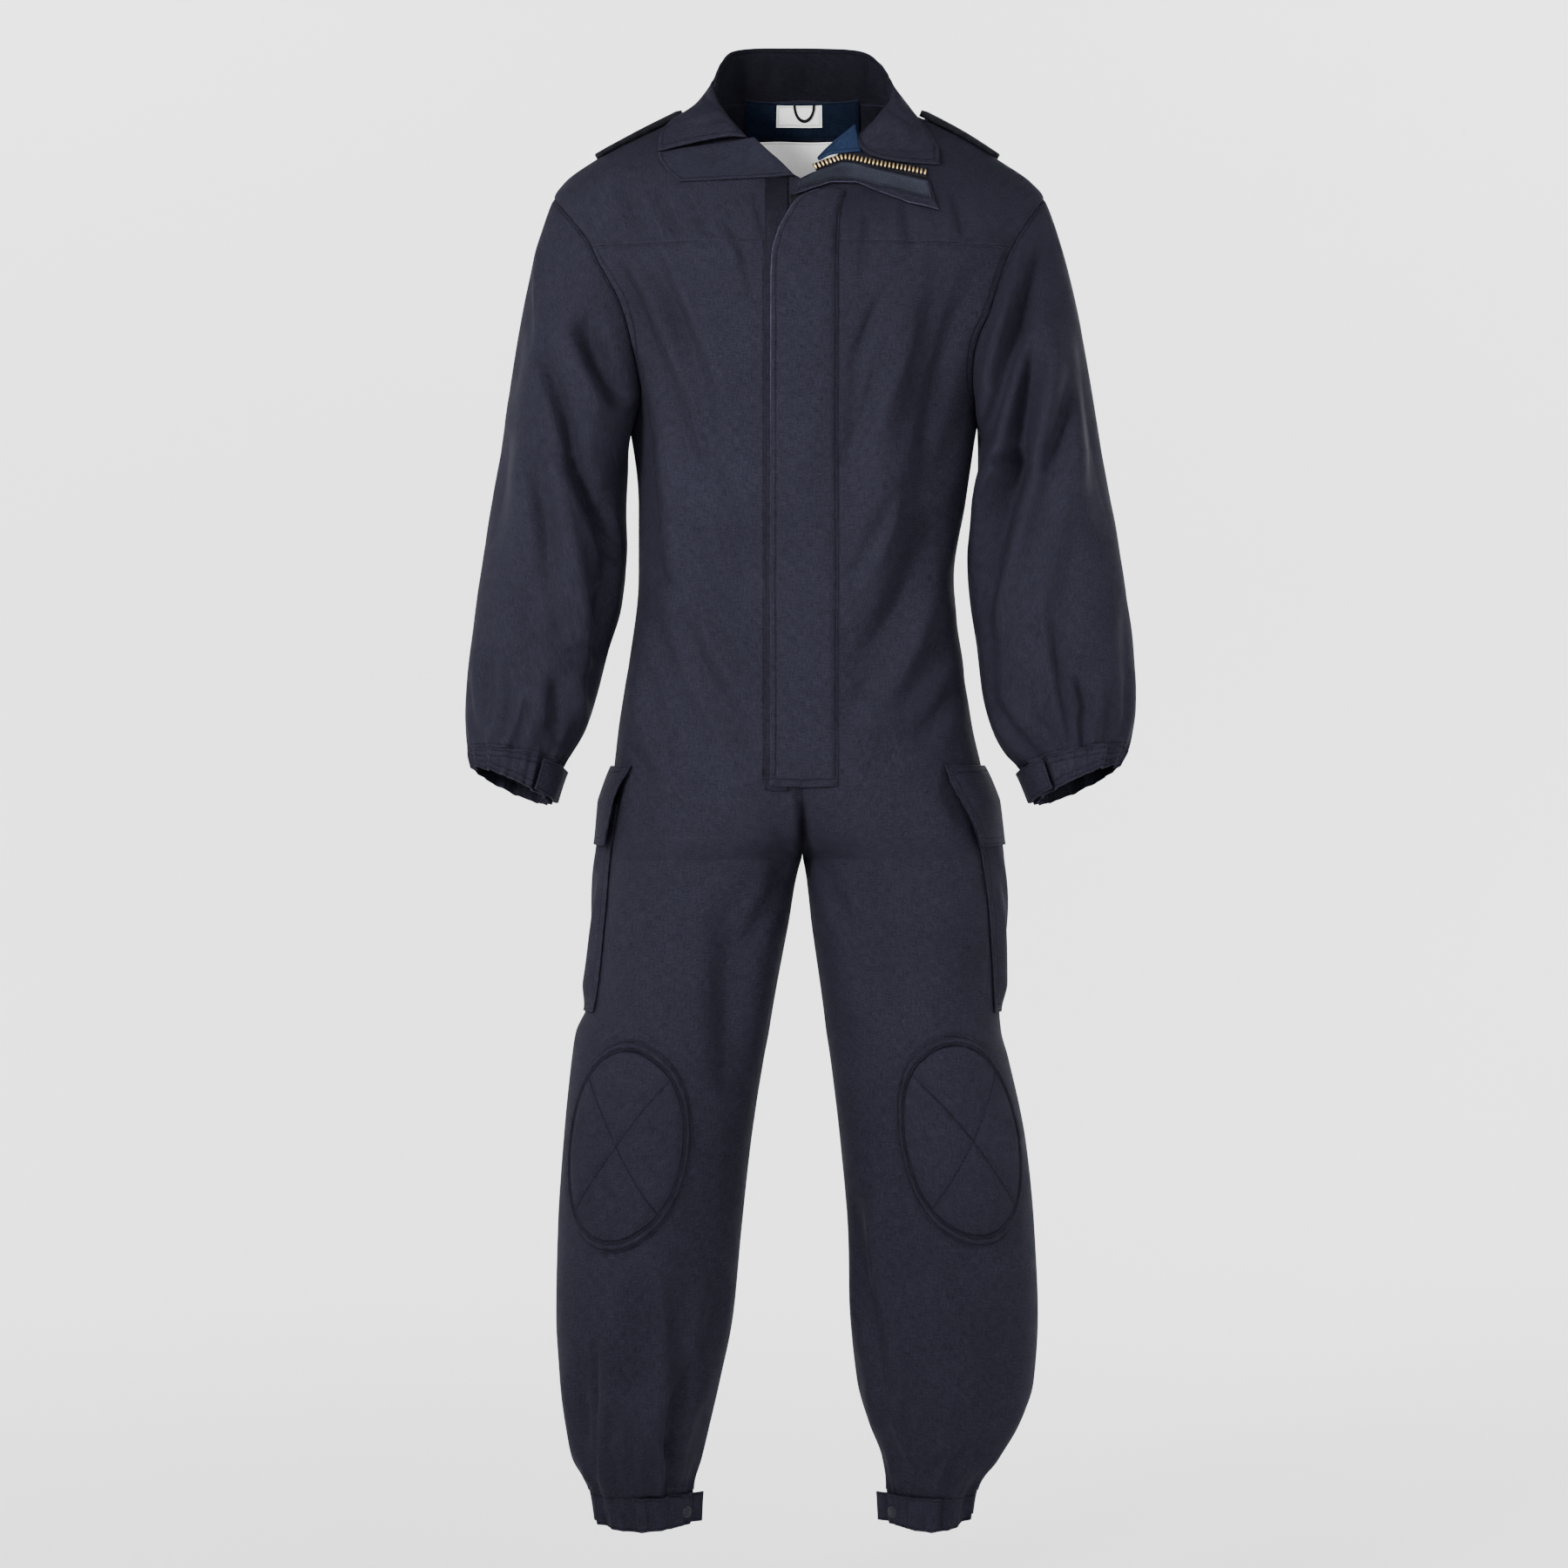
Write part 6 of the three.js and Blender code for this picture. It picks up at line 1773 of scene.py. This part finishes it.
class SUIT_OT_collar(bpy.types.Operator):
    """Rolls the collar: a quadratic curve from neck edge over the roll to the free edge"""

    bl_idname = "suit.collar"
    bl_label = "Collar"

    def execute(self, context):
        count = len(COLLAR["angle"])
        station = spread(0, count - 1, steps(260), near=(0.002, 0.006))
        line = np.arange(float(count))
        half = (count - 1) // 2
        up = curve(line, COLLAR["foot_up"])(station)
        angle_right = curve(line[: half + 1], COLLAR["angle"][: half + 1])(station)
        angle_left = curve(line[half:], COLLAR["angle"][half:])(station)
        up = np.maximum(up, 1.7)
        on_right = on_body("right", angle_right, neck["z"](angle_right) - 2.2, up)
        on_left = on_body("left", angle_left, neck["z"](angle_left) - 2.2, up)
        start = np.where((station <= half)[:, None], on_right, on_left)
        smooth = lambda points: np.stack([curve(line, points[:, k])(station) for k in range(3)], -1)
        roll = smooth(np.stack([COLLAR["roll_x"], COLLAR["roll_y"], COLLAR["roll_z"]], -1))
        edge = smooth(np.stack([COLLAR["edge_x"], COLLAR["edge_y"], COLLAR["edge_z"]], -1))
        t = spread(0, 1, steps(46), near=(0.01, 0.03))[:, None, None]
        grid = start * (1 - t) ** 2 + roll * 2 * t * (1 - t) + edge * t**2
        grid = rest_on_front(grid, 3.2)
        normal = grid_normals(grid)
        inward = normal * np.sign((normal[10:30, steps(130)] @ np.array([0.0, -1.0, 0.0])).mean())
        soft = creases(station[None, :] * 24, t[..., 0] * 60, [
            [150, 8, 158, 58, 5, -1.6, 2], [168, 4, 176, 50, 5, -1.3, -2],
            [196, 6, 190, 54, 6, -1.6, 3], [214, 10, 206, 58, 5, -1.2, -2],
            [232, 6, 238, 52, 6, -1.6, 2], [126, 6, 132, 50, 6, -1.5, -2],
            [96, 10, 90, 56, 6, -1.2, 2], [262, 10, 270, 56, 6, -1.4, 2],
            [300, 10, 290, 40, 5, -1.2, 2], [56, 10, 70, 44, 5, -1.2, -2],
            [330, 14, 344, 50, 5, -1.0, 2], [30, 14, 20, 50, 5, -1.0, 2],
        ])
        grid = grid + inward * soft[..., None] * np.clip(t * 6, 0, 1) * np.clip((1 - t) * 8, 0.3, 1)
        marks = edge_marks(grid, (5.0, 99), sides="dlr")
        # Painted shade: round the centre back the collar is darkened by up to 0.62, less towards its free edge, for
        # the shade inside the stand; part of it stands for the stand's darker inner cloth.
        back = np.exp(-(((station - half) / 3.6) ** 4))[None, :]
        painted_shade_and_lining = 1 - 0.62 * back * (1 - t[..., 0] ** 3 * 0.35)
        painted_shades = np.concatenate([painted_shade_and_lining.ravel(), painted_shade_and_lining.ravel()])
        made = shell("collar_cloth", grid, DOUBLE, marks=marks, painted_shades=painted_shades)
        full = made.data.attributes["marks"].data
        both = np.concatenate([marks.reshape(-1, 3), marks.reshape(-1, 3)])
        full.foreach_set("vector", both.astype(np.float32).ravel())
        finish_piece(made, ["collar"], material("navy"))
        return {"FINISHED"}


class SUIT_OT_neck(bpy.types.Operator):
    """Sews in what shows inside the back of the neck: facing, bare labels and hanging loop"""

    bl_idname = "suit.neck"
    bl_label = "Inside of the neck"

    def execute(self, context):
        rows = [
            ("neck_facing", -62, 62, 16, 51, 0.6, 1.0, "facing_blue", "neck", 0.3, (0.14, 0.04)),
            ("neck_label", -28, 22, 28, 49, 2.2, LABEL, "white_label", "label", 0.5, (0.055, 0.023)),
            ("care_label", -48, 42, -92, 13, 0.8, LABEL, "white_label", "label", 1.2, (0.095, 0.107)),
        ]
        for name, left, right, foot, top, depth, thick, slot, key, wavy, flat in rows:
            x = spread(left, right, steps(40), near=(0.01, 0.03))[None, :]
            z = spread(foot, top, steps(30), near=(0.01, 0.03))[:, None]
            wave = wavy * (1 + np.sin(x / 11 + z / 23))
            over = in_back(x, z, depth + thick + wave)
            under = in_back(x, z, depth + wave)
            marks = edge_marks(over, (2.0, 99))
            made = wall(name + "_cloth", over, under, marks=marks)
            finish_piece(made, [name], material(key))
        # Hanging loop: a half ellipse of tape, x = m - a cos t, z = top - b sin t.
        t = np.linspace(0, np.pi, steps(60))[None, :]
        inward = np.linspace(0, 3.0, 7)[:, None]
        x = 2.5 - 12.5 * (1 - inward / 12.5) * np.cos(t)
        z = 50 - (17 - inward) * np.sin(t)
        over = in_back(x, z, 3.8 + 1.4)
        marks = edge_marks(over, (99, 99))
        made = wall("hanging_loop_cloth", over, in_back(x, z, 3.8), marks=marks)
        finish_piece(made, ["hanging_loop"], material("black"))
        return {"FINISHED"}


class SUIT_OT_epaulettes(bpy.types.Operator):
    """Lays the shoulder tabs along the shoulders, lifted at the neck by 3 (1 - u)^1.5, in the black webbing as painted
    shade
    """

    bl_idname = "suit.epaulettes"
    bl_label = "Shoulder tabs"

    def execute(self, context):
        for side in SIDES:
            u = spread(0, 1, steps(40), near=(0.01, 0.03))[:, None]
            v = spread(0, 1, steps(36), near=(0.01, 0.03))[None, :]
            z = lerp(20.5, -20.0, u) + 0 * v
            across = lerp(-24.0, 24.0, v) + 0 * u
            depth = np.where(across < 0, body["front"](z), body["back"](z))
            turn = np.arccos(np.clip(power(-across / depth, body["square"](z) / 2), -1, 1))
            angle = np.degrees(turn)
            up = 3 * (1 - u) ** 1.5 + 0 * v
            outer = on_body(side, angle, z, CLEAR + 4.8 + up)
            marks = edge_marks(outer, (3.0, 99))
            made = wall(
                "epaulette_" + side + "_cloth", outer, on_body(side, angle, z, CLEAR + 0.3 * up),
                marks=marks,
            )
            # Painted shade: the tabs take the black webbing's colour, much darker than the navy cloth, for the shade
            # they lie in.
            finish_piece(made, ["epaulette_" + side], material("black"))
        return {"FINISHED"}


def body_line(side, angle, z, lift=0.25):
    """A line on the body with its normals, for stitches."""
    angle, z = np.broadcast_arrays(np.asarray(angle, float), np.asarray(z, float))
    return on_body(side, angle, z, lift), body_normal(side, angle, z)


def front_line(x, z, lift):
    x, z = np.broadcast_arrays(np.asarray(x, float), np.asarray(z, float))
    line = on_front(x, z, lift)
    return line, unit(on_front(x, z, lift + 2.0) - line)


class SUIT_OT_stitching(bpy.types.Operator):
    """Sews the topstitching: grains of thread at even distances along lines on the cloth"""

    bl_idname = "suit.stitching"
    bl_label = "Topstitching"

    def execute(self, context):
        pitch = context.scene.suit_sizes.stitch_pitch / MM
        lines = []
        for side in SIDES:
            z = np.linspace(YOKE_SEAM - 4, ARMHOLE_FOOT + 2, 200)
            half = half_section(side, z)[1]
            turn = np.degrees(np.arccos(np.clip((z - ARMHOLE_MIDDLE) / ARMHOLE_HALF, -1, 1)))
            for sign in (1, -1):
                edge = armhole(sign * turn)[0]
                radius = np.maximum(half * 0.8, 100)
                lines.append(body_line(side, edge - sign * np.degrees(7 / radius), z))
            z = np.linspace(ARMHOLE_FOOT - 6, FRONT_FOOT + 6, 600)
            half = half_section(side, z)[1]
            lines.append(body_line(side, 90 + np.degrees(6 / half), z))
            angle = np.linspace(18, 58, 160)
            lines.append(body_line(side, angle, YOKE_SEAM - 3))
            angle = np.linspace(118, 178, 200)
            lines.append(body_line(side, angle, YOKE_SEAM - 3))
        made = thread("body_stitches", lines, pitch)
        finish_piece(made, [], material("thread"))
        flap = curves(FLAP, "z")
        z = np.linspace(FLAP_FOOT + 7, -84.0, 500)
        lines = []
        for inset in (5.5, -2.6, -5.0):
            width = flap["sewn"](z) - flap["free"](z)
            t = inset / width if inset > 0 else 1 + inset / width
            x = lerp(flap["free"](z), flap["sewn"](z), t)
            lines.append(front_line(x, z, sum(flap_lift(z, t)) + 0.1))
        x = np.linspace(-27, 34, 60)
        z = np.full(60, FLAP_FOOT + 7.0)
        lines.append(front_line(x, z, sum(flap_lift(z, (x + 33) / 69)) + 0.1))
        made = thread("flap_stitches", lines, pitch)
        finish_piece(made, [], material("thread"))
        lines = []
        for side in SIDES:
            turn = np.linspace(0, 2 * np.pi, 400)
            for inset, lift in ((2.0, 3.0), (6.0, 3.0)):
                radius = 1 - inset / PAD_WIDE
                angle, z = on_pad(side, radius * np.sin(turn), radius * np.cos(turn))
                lines.append(body_line(side, angle, z, CLEAR + lift))
            line = np.linspace(-0.86, 0.86, 160)
            share = 0.707
            for sign in (1, -1):
                angle, z = on_pad(side, line * share, sign * line * share)
                lines.append(body_line(side, angle, z, CLEAR + CLOTH + 0.75))
        made = thread("knee_stitches", lines, pitch)
        finish_piece(made, [], material("thread"))
        return {"FINISHED"}


class SUIT_PT_panel(bpy.types.Panel):
    """The suit's pieces in the sidebar"""

    bl_label = "Boiler suit"
    bl_idname = "SUIT_PT_panel"
    bl_space_type = "VIEW_3D"
    bl_region_type = "UI"
    bl_category = "Boiler suit"

    def draw(self, context):
        column = self.layout.column()
        for name in SuitSizes.__annotations__:
            column.prop(context.scene.suit_sizes, name)
        for name in SuitColours.__annotations__:
            column.prop(context.scene.suit_colours, name)
        for operator in OPERATORS:
            column.operator(operator.bl_idname)


OPERATORS = [
    SUIT_OT_stage, SUIT_OT_body_panels, SUIT_OT_yoke, SUIT_OT_sleeves, SUIT_OT_cuffs,
    SUIT_OT_ankles, SUIT_OT_knees, SUIT_OT_pockets, SUIT_OT_storm_flap, SUIT_OT_zip,
    SUIT_OT_lapels, SUIT_OT_collar, SUIT_OT_neck, SUIT_OT_epaulettes, SUIT_OT_stitching,
]
CLASSES = [SuitSizes, SuitColours, *OPERATORS, SUIT_PT_panel]


def register():
    for item in CLASSES:
        bpy.utils.register_class(item)
    bpy.types.Scene.suit_sizes = bpy.props.PointerProperty(type=SuitSizes)
    bpy.types.Scene.suit_colours = bpy.props.PointerProperty(type=SuitColours)


def unregister():
    del bpy.types.Scene.suit_colours
    del bpy.types.Scene.suit_sizes
    for item in reversed(CLASSES):
        bpy.utils.unregister_class(item)


def main():
    register()
    bpy.ops.suit.stage()
    bpy.ops.suit.body_panels()
    bpy.ops.suit.yoke()
    bpy.ops.suit.sleeves()
    bpy.ops.suit.cuffs()
    bpy.ops.suit.ankles()
    bpy.ops.suit.knees()
    bpy.ops.suit.pockets()
    bpy.ops.suit.storm_flap()
    bpy.ops.suit.zip()
    bpy.ops.suit.lapels()
    bpy.ops.suit.collar()
    bpy.ops.suit.neck()
    bpy.ops.suit.epaulettes()
    bpy.ops.suit.stitching()


if __name__ == "__main__":
    main()
